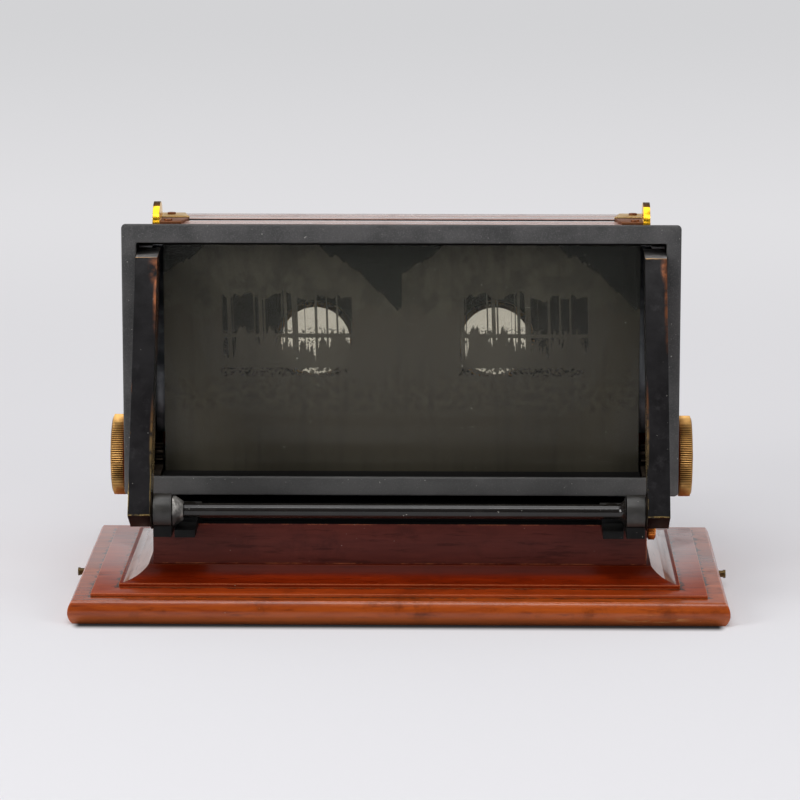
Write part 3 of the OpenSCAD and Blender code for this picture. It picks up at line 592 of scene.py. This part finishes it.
rubbed_spot = ((88, -60, 2.6), (16, 6, 2.2))
slab_wood = polished_wood("mahogany slab", "X", rgba(180, 84, 22), rgba(118, 42, 7), 0.0,
                          coat=0.6, stain=0.95, seam="plinth_panel", rubbed=rubbed_spot)
panel_wood = polished_wood("mahogany panel", "X", rgba(176, 70, 16), rgba(130, 40, 4), 0.2,
                           coat=0.65, edges=0.5, seam="cove_block")
mahogany_x = polished_wood("mahogany across", "X", rgba(150, 72, 44), rgba(108, 44, 24), 0.4)
mahogany_y = polished_wood("mahogany deep", "Y", rgba(158, 70, 30), rgba(112, 40, 12), 0.3)
mahogany_z = polished_wood("mahogany upright", "Z", rgba(158, 70, 30), rgba(112, 40, 12), 0.7)
# The cove is painted darker towards its top: painted shade under the rod and the head.
cove_low, cove_high = (corner.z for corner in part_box("cove_block"))
painted_shade_heights = [cove_low + part * (cove_high - cove_low) for part in (0.35, 0.7)]
cove_wood = polished_wood("mahogany cove", "X", rgba(142, 44, 8), rgba(96, 22, 2), 1.1,
                          coat=0.0, edges=0.5, index=1.15, painted_shade_span=painted_shade_heights)
# The cove's ends and the top boards get pale colours: painted sheen.
painted_sheen_cove_end = polished_wood("mahogany cove end with painted sheen", "Y", rgba(170, 120, 100), rgba(130, 84, 70), 1.4, coat=1.0)
dark_wood = polished_wood("dark pedestal wood", "X", rgba(90, 40, 32), rgba(62, 24, 20), 1.7, coat=0.0)
painted_sheen_top_wood = polished_wood("top board wood with painted sheen", "X", rgba(186, 150, 136), rgba(160, 118, 104), 2.3, coat=1.0)
woods = (slab_wood, panel_wood, mahogany_x, mahogany_y, mahogany_z, cove_wood, painted_sheen_cove_end, dark_wood, painted_sheen_top_wood)
print("woods:", len(woods))

# %% [markdown]
# The inner faces of the chambers are painted dull black, so that stray light does not reach the
# eyes. Black cloth and rubber are nearly as dark, with their own fine texture.

# %% Dull blacks


def shade_of(colour, factor):
    """The colour made darker or lighter by the factor."""
    return tuple(min(1, value * factor) for value in colour[:3]) + (1,)


def dull(name, colour, roughness, scale, depth, index):
    """A dark finish with a fine bump and a little variation of its tone."""
    material, tree, shader = new_material(name)
    fine = noise(tree, own_place(tree), scale, 6, 0.7)
    lighter = shade_of(colour, 1.7)
    feed(tree, shader.inputs["Base Color"], blend_colour(tree, ramp(tree, fine, 0.4, 0.7), colour, lighter))
    shader.inputs["Roughness"].default_value = roughness
    shader.inputs["IOR"].default_value = index
    raise_surface(tree, shader, fine, 0.5, depth)
    return material


chamber_black = dull("chamber black", rgba(15, 14, 13), 0.9, 900, 0.03 * mm, 1.2)
black_cloth = dull("black cloth", rgba(5, 5, 5), 1.0, 2400, 0.1 * mm, 1.1)
ebonite = dull("ebonite", rgba(24, 22, 21), 0.22, 300, 0.004 * mm, 1.5)
print("dull blacks:", [finish.name for finish in (chamber_black, black_cloth, ebonite)])

# %% [markdown]
# ## Black grained covering
# The frame round the slide is covered in thin black leather cloth. Its grain is a field of small
# cells with a fuzzy sheen, and it is rubbed a little grey along the edges.

# %% Leather cloth
leather, tree, shader = new_material("grained covering")
place = own_place(tree)
cells = add(tree, "TexVoronoi", feature="DISTANCE_TO_EDGE")
feed(tree, cells.inputs["Vector"], place)
cells.inputs["Scale"].default_value = 1500
fibres = noise(tree, place, 2600, 5, 0.5)
cloudy = use(tree, polish_group, Place=place, Scale=90.0, Low=0.55, High=0.75)
wear = use(tree, wear_group, Place=place, Width=0.9 * mm, Amount=0.3)
lint = fine_noise(tree, place, 760, 0.715, 0.735, 2)
# Painted light: the covering turns lighter towards the frame's lower edge.
bottom = ramp(tree, axes_of(tree, place)[2], 36 * mm, 46 * mm, 0.45, 0.0)
tone = blend_colour(tree, cloudy.outputs["Cloud"], rgba(50, 50, 50), rgba(72, 71, 71))
for mask, colour in ((times(tree, ramp(tree, fibres, 0.5, 0.7), 0.3), rgba(112, 111, 110)),
                     (times(tree, wear.outputs["Mask"], 0.35), rgba(88, 86, 80)),
                     (times(tree, lint, 0.7), rgba(200, 198, 190)),
                     (bottom, rgba(96, 95, 94))):
    tone = blend_colour(tree, mask, tone, colour)
feed(tree, shader.inputs["Base Color"], tone)
feed(tree, shader.inputs["Roughness"], cloudy.outputs["Roughness"])
height = plus(tree, ramp(tree, cells.outputs["Distance"], 0.0, 0.35), fibres)
raise_surface(tree, shader, height, 0.4, 0.05 * mm)
print("covering nodes:", len(tree.nodes))

# %% [markdown]
# ## Metals
# Brass comes in several states: bright on the slot guides, toned on the milled wheels, dark on the
# pins and screws. One function makes them all, and nickel and steel too, from a clean and a stained
# tone.

# %% Brass and nickel


def metal(name, clean, stained, low, high, scale=120.0, stain=0.5):
    """A metal that is clean in some places and stained in others; low and high are its roughness."""
    material, tree, shader = new_material(name)
    film = use(tree, polish_group, Place=own_place(tree), Scale=scale, Low=low, High=high)
    tone = blend_colour(tree, times(tree, film.outputs["Cloud"], stain), clean, stained)
    feed(tree, shader.inputs["Base Color"], tone)
    feed(tree, shader.inputs["Roughness"], film.outputs["Roughness"])
    shader.inputs["Metallic"].default_value = 1
    raise_surface(tree, shader, film.outputs["Cloud"], 0.15, 0.01 * mm)
    return material


bright_brass = metal("bright brass", rgba(252, 200, 48), rgba(214, 140, 22), 0.16, 0.30)
top_brass = metal("darkened brass", rgba(104, 70, 26), rgba(66, 44, 18), 0.35, 0.5)
painted_light_plate_brass = metal("pale brass with painted light", rgba(236, 200, 130), rgba(190, 140, 70), 0.3, 0.45)
brown_and_painted_shade_brass = metal("brown brass, painted shade on plates", rgba(150, 98, 66), rgba(100, 58, 38), 0.45, 0.6)
wheel_brass = metal("toned brass", rgba(176, 132, 74), rgba(124, 86, 46), 0.35, 0.5)
plain_brass = metal("lacquered brass", rgba(205, 155, 80), rgba(140, 92, 40), 0.2, 0.38)
knob_brass = metal("orange brass", rgba(216, 132, 60), rgba(150, 84, 34), 0.3, 0.45)
dark_brass = metal("dark brass", rgba(110, 90, 58), rgba(50, 40, 28), 0.35, 0.55)
black_metal = metal("blackened brass", rgba(44, 38, 32), rgba(22, 19, 17), 0.4, 0.6)
nickel = metal("stained nickel", rgba(104, 106, 108), rgba(34, 36, 38), 0.3, 0.5, 60.0, 0.9)
pale_nickel = metal("pale nickel", rgba(240, 240, 240), rgba(200, 202, 204), 0.4, 0.6)
screw_steel = metal("plain steel", rgba(160, 156, 150), rgba(110, 100, 90), 0.3, 0.5)
print("finishes so far:", len(bpy.data.materials))

# %% [markdown]
# The arms, lugs and rod are brass under black lacquer. Handling has rubbed the lacquer from their
# edges, where a coppery brass shows, so the wear mask blends two whole sets of values.

# %% Black lacquer
gold = rgba(196, 168, 108)
copper = rgba(140, 84, 52)
steel = rgba(196, 192, 186)


def lacquer(name, amount, width, dark, rough, spots=(), index=1.5, bare_low=gold, bare_high=copper):
    """Black lacquer; the bare metal shows on worn edges and in the spots: middle, reach, strength."""
    material, tree, shader = new_material(name)
    place = own_place(tree)
    film = use(tree, polish_group, Place=place, Scale=85.0, Low=rough, High=rough + 0.12)
    wear = use(tree, wear_group, Place=place, Width=width, Amount=amount)
    bare = wear.outputs["Mask"]
    for centre, reach, strength in spots:
        patch = times(tree, near(tree, place, centre, reach), fine_noise(tree, place, 280, 0.32, 0.66))
        bare = most(tree, bare, times(tree, patch, strength))
    tone = blend_colour(tree, film.outputs["Cloud"], dark, shade_of(dark, 0.55))
    smear = fine_noise(tree, place, 150, 0.52, 0.72, 8, 0.75)
    tone = blend_colour(tree, times(tree, smear, 0.5), tone, shade_of(dark, 2.2))
    upper = ramp(tree, axes_of(tree, place)[2], 46 * mm, 80 * mm)
    tone = blend_colour(tree, bare, tone, blend_colour(tree, upper, bare_low, bare_high))
    dust = fine_noise(tree, place, 800, 0.745, 0.765, 2)
    tone = blend_colour(tree, times(tree, dust, 0.6), tone, rgba(190, 186, 178))
    feed(tree, shader.inputs["Base Color"], tone)
    feed(tree, shader.inputs["Metallic"], bare)
    feed(tree, shader.inputs["Roughness"], film.outputs["Roughness"])
    shader.inputs["IOR"].default_value = index
    raise_surface(tree, shader, film.outputs["Cloud"], 0.2, 0.02 * mm)
    return material


rubbed_spots = (
    ((-86.4, -9, 116), (3.2, 8, 9), 0.75), ((-86, -14, 104), (1.2, 12, 24), 0.6),
    ((93, -9, 116), (2.4, 8, 7), 0.75), ((93.3, -16, 100), (1.2, 14, 26), 0.6),
    ((87, -36, 58), (2.6, 6, 7), 0.45), ((86, -34, 60), (0.8, 14, 24), 0.7),
    ((-86, -36, 56), (0.9, 14, 22), 0.7), ((-89.7, -54.9, 37), (8, 0.7, 0.7), 1.4),
    ((-93.6, -52, 42), (0.5, 8, 10), 0.9), ((-85.7, -50, 46), (0.5, 9, 12), 0.9),
    ((89.7, -54.9, 37), (8, 0.6, 0.6), 1.0))
arm_lacquer = lacquer("worn lacquer", 0.16, 0.5 * mm, rgba(37, 36, 37), 0.15, rubbed_spots, 1.12)
nut_spots = (((-77.5, -50, 40), (3.5, 5, 5), 1.0), ((-75, -47.2, 37.3), (1.5, 6, 6), 0.7))
nut_lacquer = lacquer("rubbed nut lacquer", 0.2, 0.4 * mm, rgba(50, 48, 45), 0.3, nut_spots,
                      bare_low=steel, bare_high=steel)
rod_lacquer = lacquer("rod lacquer", 0.08, 0.35 * mm, rgba(26, 23, 21), 0.12)
foot_lacquer = lacquer("lug foot lacquer", 0.08, 0.35 * mm, rgba(12, 12, 12), 0.4, (), 1.25)
dusty_lacquer = lacquer("dusty lacquer", 0.1, 0.35 * mm, rgba(50, 48, 45), 0.34)
bare_top = dull("dusty arm end", rgba(112, 110, 109), 0.6, 500, 0.01 * mm, 1.4)
rubbed_edge = metal("rubbed edge", rgba(226, 178, 116), rgba(120, 74, 38), 0.3, 0.45)
print("rubbed spots:", len(rubbed_spots) + len(nut_spots))

# %% [markdown]
# ## Glass and the stereo pair
# The slide is a dark glass transparency. Its picture here is a made-up one: a mountain, wooded slopes
# and a lake that shines between tree trunks. It is drawn twice, with the nearer layers shifted a
# little between the two views, as a stereo pair has them. Dense silver looks olive from outside.
# Where it is thin, one looks through it: the sky shows the black chamber, and the lake shows the
# light that comes in through a lens.

# %% Lens glass
lens_glass, tree, shader = new_material("lens glass")
shader.inputs["Base Color"].default_value = (1, 0.94, 0.74, 1)
shader.inputs["Roughness"].default_value = 0.0
shader.inputs["IOR"].default_value = 1.5
shader.inputs["Transmission Weight"].default_value = 1
print("lens glass index:", round(shader.inputs["IOR"].default_value, 2))

# %% Clear slide glass
clear_glass, tree, shader = new_material("clear slide glass")
film = use(tree, polish_group, Place=own_place(tree), Scale=50.0, Low=0.06, High=0.16)
shader.inputs["Base Color"].default_value = rgba(70, 72, 66)
feed(tree, shader.inputs["Roughness"], film.outputs["Roughness"])
shader.inputs["Alpha"].default_value = 0.12
shader.inputs["IOR"].default_value = 1.6
print("slide glass hides", shader.inputs["Alpha"].default_value, "of what is behind it")

# %% Layers of the stereo pair
slide_low, slide_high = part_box("slide_picture")
view_half = slide_high.x / 2
group, entry, leave = new_group(
    "stereo pair", [("Place", "Vector", None)], [("Color", "Color"), ("Alpha", "Float")])
stereo_group = group
sideways, _, height = axes_of(group, entry.outputs["Place"])
side = maths(group, "SIGN", sideways)
across = times(group, minus(group, sideways, times(group, side, view_half)), 1 / mm)
up = times(group, minus(group, height, slide_low.z), 1 / mm)


def noise_line(spacing, shift, seed, detail, lean=0.0):
    """Noise along the picture, in features of the spacing; the shift makes the stereo parallax."""
    moved = plus(group, across, times(group, side, shift))
    if lean:
        moved = plus(group, moved, times(group, up, lean))
    texture = add(group, "TexNoise", noise_dimensions="1D")
    feed(group, texture.inputs["W"], plus(group, maths(group, "DIVIDE", moved, spacing), seed))
    for title, value in (("Scale", 1), ("Detail", detail), ("Roughness", 0.6)):
        texture.inputs[title].default_value = value
    return texture.outputs["Fac"]


def skyline(base, relief, *line):
    """The height of an outline: the base, and a noise line as high as the relief."""
    return plus(group, times(group, noise_line(*line), relief), base)


def below(height, edge=0.5):
    """1 below a line of the picture and 0 above it."""
    return ramp(group, minus(group, height, up), -edge, edge)


def band(value, middle, inner, outer):
    """1 within the inner distance of the middle, and 0 past the outer one."""
    return ramp(group, size_of(group, minus(group, value, middle)), inner, outer, 1.0, 0.0)


def field(scale, low, high, detail=6):
    """A mask of fine spots."""
    return fine_noise(group, entry.outputs["Place"], scale, low, high, detail, 0.65)


print("each view is", round(view_half / mm, 1), "mm wide")

# %% Outlines of the landscape
# All heights are in millimetres above the slide's lower edge.
peak_place, steepness, peak_height = -7, -0.72, 90
peak = times(group, size_of(group, minus(group, across, peak_place)), steepness)
peak = plus(group, skyline(0, 16, 16, 0.0, 3.1, 5), peak, peak_height)
mountain = below(peak)
foothills = below(skyline(46, 26, 24, 0.3, 8.4, 6))
trees = below(skyline(22, 26, 5, 0.7, 5.7, 8))
meadow = below(skyline(20, 8, 40, 1.1, 1.9, 4))
print("mountain up to", peak_height, "mm")

# %% Lake between the trunks
# Bushes hide its lower part and cloud its upper one. Trunks, the far shore, leaves and ripples
# cover parts of it, and a strip of puddles glints in front.
lake_left, lake_right, lake_foot = -22, 24, 43
shore_low, shore_high = 50.2, 52.2
puddles = 38.0
lake = times(group, ramp(group, across, lake_left, lake_left + 1),
             ramp(group, across, lake_right, lake_right + 1, 1.0, 0.0))
lake = times(group, lake, minus(group, 1.0, below(skyline(25, 48, 8, 0.9, 2.2, 6), 0.4)))
lake = times(group, lake, below(skyline(59, 12, 14, 0.5, 7.7, 5), 0.4))
trunks = ramp(group, noise_line(3.8, 0.9, 6.3, 2, 0.03), 0.54, 0.57)
far_shore = times(group, ramp(group, up, shore_low, shore_low + 0.4),
                  ramp(group, up, shore_high - 0.6, shore_high, 1.0, 0.0))
leaves = times(group, field(900, 0.52, 0.56), ramp(group, up, lake_foot, lake_foot + 5),
               ramp(group, up, 52, 55, 1.0, 0.0))
ripples = times(group, field(1500, 0.50, 0.54), ramp(group, up, lake_foot, lake_foot + 3, 1.0, 0.0))
shine = times(group, lake, minus(group, 1.0, most(group, trunks, far_shore, leaves, ripples)))
glints = times(group, field(1100, 0.52, 0.55), band(up, puddles, 0.8, 1.8), band(across, 0, 20, 24))
shine = most(group, shine, glints)
print("lake from", lake_left, "to", lake_right, "mm, its far shore at", shore_low, "mm")

# %% Tone and density
# Each layer has its density, which is the share of the light that it holds back.
rocks = field(110, 0.46, 0.56, 8)
gullies = times(group, ramp(group, noise_line(5, 0.0, 4.7, 7, 0.5), 0.45, 0.62), 0.4)
rocks = times(group, most(group, rocks, gullies), mountain, 0.5)
foliage = blend_colour(group, field(420, 0.4, 0.6), rgba(66, 61, 50), rgba(80, 74, 61))
streak_place = add(group, "Mapping")
feed(group, streak_place.inputs["Vector"], entry.outputs["Place"])
streak_place.inputs["Scale"].default_value = (1, 1, 0.06)
streaks = fine_noise(group, streak_place.outputs["Vector"], 300, 0.5, 0.62, 4)
tone = rgba(44, 45, 39)
for mask, colour in ((mountain, rgba(84, 80, 68)), (rocks, rgba(54, 52, 44)),
                     (foothills, rgba(75, 70, 59)), (trees, foliage), (meadow, rgba(76, 70, 58)),
                     (times(group, streaks, 0.2), rgba(48, 46, 39))):
    tone = blend_colour(group, mask, tone, colour)
sky_density, clearing = 0.75, 0.77
density = sky_density
for mask, layer_density in ((mountain, 0.94), (foothills, 0.98), (trees, 0.98), (meadow, 0.985)):
    density = most(group, times(group, mask, layer_density), density)
density = times(group, density, minus(group, 1.0, times(group, shine, clearing)))
feed(group, leave.inputs["Color"], tone)
feed(group, leave.inputs["Alpha"], density)
print("stereo pair nodes:", len(group.nodes))

# %% Picture on the rear glass
picture, tree, shader = new_material("stereo picture")
place = own_place(tree)
views = use(tree, stereo_group, Place=place)
dust = fine_noise(tree, place, 620, 0.755, 0.775, 2)
scratch = add(tree, "Mapping")
feed(tree, scratch.inputs["Vector"], place)
scratch.inputs["Rotation"].default_value = (0, 0.4, 0)
scratch.inputs["Scale"].default_value = (0.12, 1, 1.6)
scuffs = fine_noise(tree, scratch.outputs["Vector"], 300, 0.71, 0.74, 3)
marks = most(tree, times(tree, dust, 0.6), times(tree, scuffs, 0.35))
tone = blend_colour(tree, marks, views.outputs["Color"], rgba(170, 168, 158))
feed(tree, shader.inputs["Base Color"], tone)
feed(tree, shader.inputs["Alpha"], views.outputs["Alpha"])
shader.inputs["Roughness"].default_value = 0.35
shader.inputs["IOR"].default_value = 1.25
print("picture nodes:", len(tree.nodes))

# %% [markdown]
# ## The plinth
# The engineering solids have the right profiles but razor edges. Real mouldings are sanded, so each
# wooden piece is copied, its triangles are merged and its edges are rounded by a fraction of a
# millimetre. The rounded edges catch a thin line of light.

# %% Plinth and pedestal
eased("plinth_slab", 0.5 * mm, slab_wood, segments=3)
eased("plinth_panel", 0.3 * mm, panel_wood)
cove = eased("cove_block", 0.2 * mm, cove_wood, painted_sheen_cove_end)
end_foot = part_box("plinth_panel")[1].z + 0.6 * mm
# Painted sheen on the cove's ends.
face_finish(cove, 1, lambda centre, normal: abs(normal.x) > 0.12 and centre.z > end_foot)
pedestal = eased("pedestal", 0.3 * mm, dark_wood, black_cloth)
cloth_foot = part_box("pedestal")[1].z - 0.4 * mm
face_finish(pedestal, 1, lambda centre, normal: centre.z > cloth_foot)
eased("pedestal_cloth", 0.2 * mm, black_cloth)
eased("rest_strip", 0.5 * mm, black_cloth)
eased("plinth_screws", 0.1 * mm, screw_steel)
for end in ("left", "right"):
    eased("catch_pin_" + end, 0.2 * mm, dark_brass, joined=False)

# %% [markdown]
# ## The stand
# Arms, lugs, rod and nut share the black lacquer. The arms are rubbed most. Their ends are bare and
# dusty, and the edge in front of each end shows a line of brass.

# %% Arms
arm_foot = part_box("arm_left")[0].z + 8 * mm
arm_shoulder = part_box("arm_left")[1].z - 3 * mm


def front_edge_of_end(centre, normal):
    """True for the eased edge in front of an arm's end."""
    return 0.5 < normal.z < 0.97 and normal.y < 0 and centre.z > arm_shoulder


for end in ("left", "right"):
    arm = eased("arm_" + end, 0.35 * mm, arm_lacquer, bare_top, rubbed_edge, foot_lacquer)
    face_finish(arm, 1, lambda centre, normal: normal.z > 0.97)
    face_finish(arm, 2, front_edge_of_end)
    face_finish(arm, 3, lambda centre, normal: normal.z < -0.8 and centre.z < arm_foot)

# %% Rod and lugs
lug_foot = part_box("lug_left")[0].z + 4.5 * mm
for end in ("left", "right"):
    lug = eased("lug_" + end, 0.3 * mm, dusty_lacquer, foot_lacquer)
    face_finish(lug, 1, lambda centre, normal: centre.z < lug_foot)
eased("tie_rod", 0.2 * mm, rod_lacquer)
eased("cone_nut", 0.15 * mm, nut_lacquer)
eased("lug_screws", 0.12 * mm, black_metal)
eased("thrust_washers", 0.1 * mm, black_metal)
eased("arm_screws", 0.12 * mm, plain_brass)
eased("clamp_knob", 0.08 * mm, knob_brass)

# %% [markdown]
# ## The slide box and the hood
# The outside of each board is polished and its inside is painted black. The painted faces are found
# by their place, so that the eased edges beside them are painted too.

# %% Boards
paint = 0.35 * mm
box_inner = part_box("floor_board")[1].x
box_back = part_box("top_board_back")[1].y
box_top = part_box("box_side_left")[1].z


def board(node, finish, painted):
    """A polished board, black on the faces for which painted(centre, normal) is true."""
    piece = eased(node, 0.3 * mm, finish, chamber_black)
    face_finish(piece, 1, painted)


def inside_of(node):
    """The test for the faces on the side of an upright board that looks to the middle."""
    inner = min(abs(corner.x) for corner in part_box(node)) + paint
    return lambda centre, normal: abs(centre.x) < inner


def bottom_of(node):
    """The test for the faces at the bottom of a level board."""
    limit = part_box(node)[0].z + paint
    return lambda centre, normal: centre.z < limit


def top_of(node):
    """The test for the faces at the top of a level board."""
    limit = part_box(node)[1].z - paint
    return lambda centre, normal: centre.z > limit


for end in ("left", "right"):
    board("box_side_" + end, mahogany_z, lambda centre, normal: abs(centre.x) < box_inner + paint)
    for node in ("hood_side_" + end, "carriage_side_" + end):
        board(node, mahogany_y, inside_of(node))
board("floor_board", mahogany_x, top_of("floor_board"))
# The top boards' polished faces carry painted sheen.
board("top_board_front", painted_sheen_top_wood, lambda centre, normal: normal.y > 0.4 or centre.z < box_top - paint)
board("top_board_back", painted_sheen_top_wood, lambda centre, normal: normal.y < -0.4 or normal.z < -0.4)
board("back_rail", mahogany_x, lambda centre, normal: centre.y < box_back - paint)
board("hood_top", mahogany_x, bottom_of("hood_top"))
board("carriage_top", mahogany_x, bottom_of("carriage_top"))
board("carriage_floor", mahogany_x, top_of("carriage_floor"))
board("lens_board", mahogany_x, lambda centre, normal: normal.y < -0.4)
board("slot_ends", mahogany_x, lambda centre, normal: normal.z < 0.5)
for name in ("slide_sill", "mask_board", "septum"):
    eased(name, 0.15 * mm, chamber_black)

# %% [markdown]
# ## The covered frame
# The frame is a flat bar of wood with leather cloth drawn round it. A cube of the frame's size is
# inset on its front and back, the two inner faces are bridged to open the window, and the outer
# edges are rounded as far as the cloth rounds them.

# %% Frame round the slide
low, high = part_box("bezel")
window_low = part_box("slide_sill")[1].z + 0.2 * mm
window_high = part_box("top_board_front")[1].z - 6.5 * mm
bpy.ops.mesh.primitive_cube_add(size=1, location=(low + high) / 2)
bezel = bpy.context.object
bezel.scale = high - low
bpy.ops.object.transform_apply(location=True, rotation=True, scale=True)
bpy.ops.object.mode_set(mode="EDIT")
for place, direction in (((-box_inner, 0, 0), (1, 0, 0)), ((box_inner, 0, 0), (1, 0, 0)),
                         ((0, 0, window_low), (0, 0, 1)), ((0, 0, window_high), (0, 0, 1))):
    bpy.ops.mesh.select_all(action="SELECT")
    bpy.ops.mesh.bisect(plane_co=place, plane_no=direction)
bpy.ops.mesh.select_all(action="DESELECT")
bpy.ops.object.mode_set(mode="OBJECT")
for face in bezel.data.polygons:
    centre = face.center
    within = abs(centre.x) < box_inner and window_low < centre.z < window_high
    face.select = within and abs(face.normal.y) > 0.5
bpy.ops.object.mode_set(mode="EDIT")
bpy.ops.mesh.select_mode(type="FACE")
bpy.ops.mesh.bridge_edge_loops()
bpy.ops.mesh.dissolve_limited(angle_limit=radians(1))
bpy.ops.mesh.select_all(action="DESELECT")
bpy.ops.object.mode_set(mode="OBJECT")

# %% Rounded corners of the frame
for edge in bezel.data.edges:
    ends = [bezel.data.vertices[index].co for index in edge.vertices]
    along_y = abs(ends[0].y - ends[1].y) > 1 * mm
    edge.select = along_y and all(abs(end.x) > high.x - 0.01 * mm for end in ends)
bpy.ops.object.mode_set(mode="EDIT")
bpy.ops.mesh.select_mode(type="EDGE")
bpy.ops.mesh.bevel(offset=1.5 * mm, segments=5)
bpy.ops.object.mode_set(mode="OBJECT")
round_edges(bezel, 0.6 * mm, 3, 50)
settle(bezel, "covered_frame")
dress(bezel, leather)
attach(bezel, "head")
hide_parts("bezel")
print("covered frame faces:", len(bezel.data.polygons))

# %% [markdown]
# ## Slot guides and springs
# The guides are polished brass, and the tops of their arches have darkened. Each foot plate is divided along
# the slot to take two finishes: its back half is paler, as painted light, and its front half browner, as
# painted shade. The springs behind the slide are stained nickel with pale tops, and racks and screws are
# blackened.

# %% Slot guides
slide_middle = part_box("slide_cover")[1].y
dark_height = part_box("slot_guide_left")[1].z - 1.2 * mm
plate_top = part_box("top_board_front")[1].z + 1.1 * mm
plate_end = 85.2 * mm
cuts = [((0, slide_middle, 0), (0, 1, 0))] + [((x, 0, 0), (1, 0, 0)) for x in (-plate_end, plate_end)]


def on_plate(centre, normal):
    """True for the faces of a foot plate."""
    return centre.z < plate_top and abs(centre.x) < plate_end


for end in ("left", "right"):
    guide = eased("slot_guide_" + end, 0.2 * mm, bright_brass, top_brass, painted_light_plate_brass, brown_and_painted_shade_brass, segments=3)
    pick(guide)
    bpy.ops.object.mode_set(mode="EDIT")
    for place, direction in cuts:
        bpy.ops.mesh.select_all(action="SELECT")
        bpy.ops.mesh.bisect(plane_co=place, plane_no=direction)
    bpy.ops.object.mode_set(mode="OBJECT")
    face_finish(guide, 1, lambda centre, normal: centre.z > dark_height)
    # Painted light and shade: each plate's back half is paler and its front half browner.
    face_finish(guide, 2, on_plate)
    face_finish(guide, 3, lambda centre, normal: on_plate(centre, normal) and centre.y < slide_middle)
eased("guide_screws", 0.1 * mm, brown_and_painted_shade_brass)

# %% Springs, racks and bushes
for end in ("left", "right"):
    spring = eased("side_spring_" + end, 0.08 * mm, nickel, pale_nickel)
    pale_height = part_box("side_spring_" + end)[1].z - 1.5 * mm
    face_finish(spring, 1, lambda centre, normal: centre.z > pale_height)
    eased("rack_" + end, 0.06 * mm, black_metal)
eased("rack_screws", 0.1 * mm, black_metal)
eased("spindle_bushes", 0.15 * mm, plain_brass)

# %% [markdown]
# ## Eyepieces
# Turned brass mounts, black eyecups, and the lenses, whose faces are the engineering model's true
# spheres.

# %% Eyepieces
for end in ("left", "right"):
    eased("eyepiece_tube_" + end, 0.15 * mm, plain_brass, chamber_black)
    eased("eyecup_" + end, 0.3 * mm, ebonite, segments=3, joined=False)
    eased("lens_" + end, 0, lens_glass)
eased("lens_rings", 0.1 * mm, chamber_black)
eased("flange_screws", 0.1 * mm, dark_brass)

# %% [markdown]
# ## Focusing wheels
# The milled edge is real geometry: 110 ridges, each softened a little. The colour follows the distance from
# the axis: dark at the bottom of a groove and light on its ridges.

# %% Wheel finish
wheel_low, wheel_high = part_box("focus_wheel_left")
axis = (wheel_low + wheel_high) / 2
rim = (wheel_high.z - wheel_low.z) / 2
groove, ridge_top = rim - 0.36 * mm, rim - 0.02 * mm
milled_brass, tree, shader = new_material("milled brass")
place = own_place(tree)
_, depth, height = axes_of(tree, place)
beside = minus(tree, depth, axis.y)
above = minus(tree, height, axis.z)
radius = maths(tree, "SQRT", plus(tree, times(tree, beside, beside), times(tree, above, above)))
ridge = ramp(tree, radius, groove, ridge_top)
film = use(tree, polish_group, Place=place, Scale=150.0, Low=0.32, High=0.48)
worn = blend_colour(tree, times(tree, film.outputs["Cloud"], 0.4), rgba(232, 184, 112), rgba(176, 126, 66))
feed(tree, shader.inputs["Base Color"], blend_colour(tree, ridge, rgba(74, 46, 22), worn))
feed(tree, shader.inputs["Roughness"], film.outputs["Roughness"])
shader.inputs["Metallic"].default_value = 1
print("wheel radius:", round(rim / mm, 2), "mm")

# %% Wheels
eased("focus_spindle", 0.05 * mm, black_metal)
for end in ("left", "right"):
    wheel = eased("focus_wheel_" + end, 0.05 * mm, wheel_brass, milled_brass)
    face_finish(wheel, 1, lambda centre, normal: abs(normal.x) < 0.5)

# %% [markdown]
# ## The glass slide
# Two thin glasses. The picture lies on the front of the rear one, so only that face carries it, and
# the front glass is nearly clear. Paper binding keeps the glasses a hair apart. Here the back of the
# front one is drawn in by 0.05 mm, because a ray tracer can't tell two faces in one plane apart.

# %% Slide
rear = eased("slide_picture", 0.15 * mm, clear_glass, picture)
face_finish(rear, 1, lambda centre, normal: normal.y < -0.9)
cover_glass = eased("slide_cover", 0.15 * mm, clear_glass)
for vertex in cover_glass.data.vertices:
    if vertex.co.y > slide_middle - 0.01 * mm:
        vertex.co.y -= 0.05 * mm
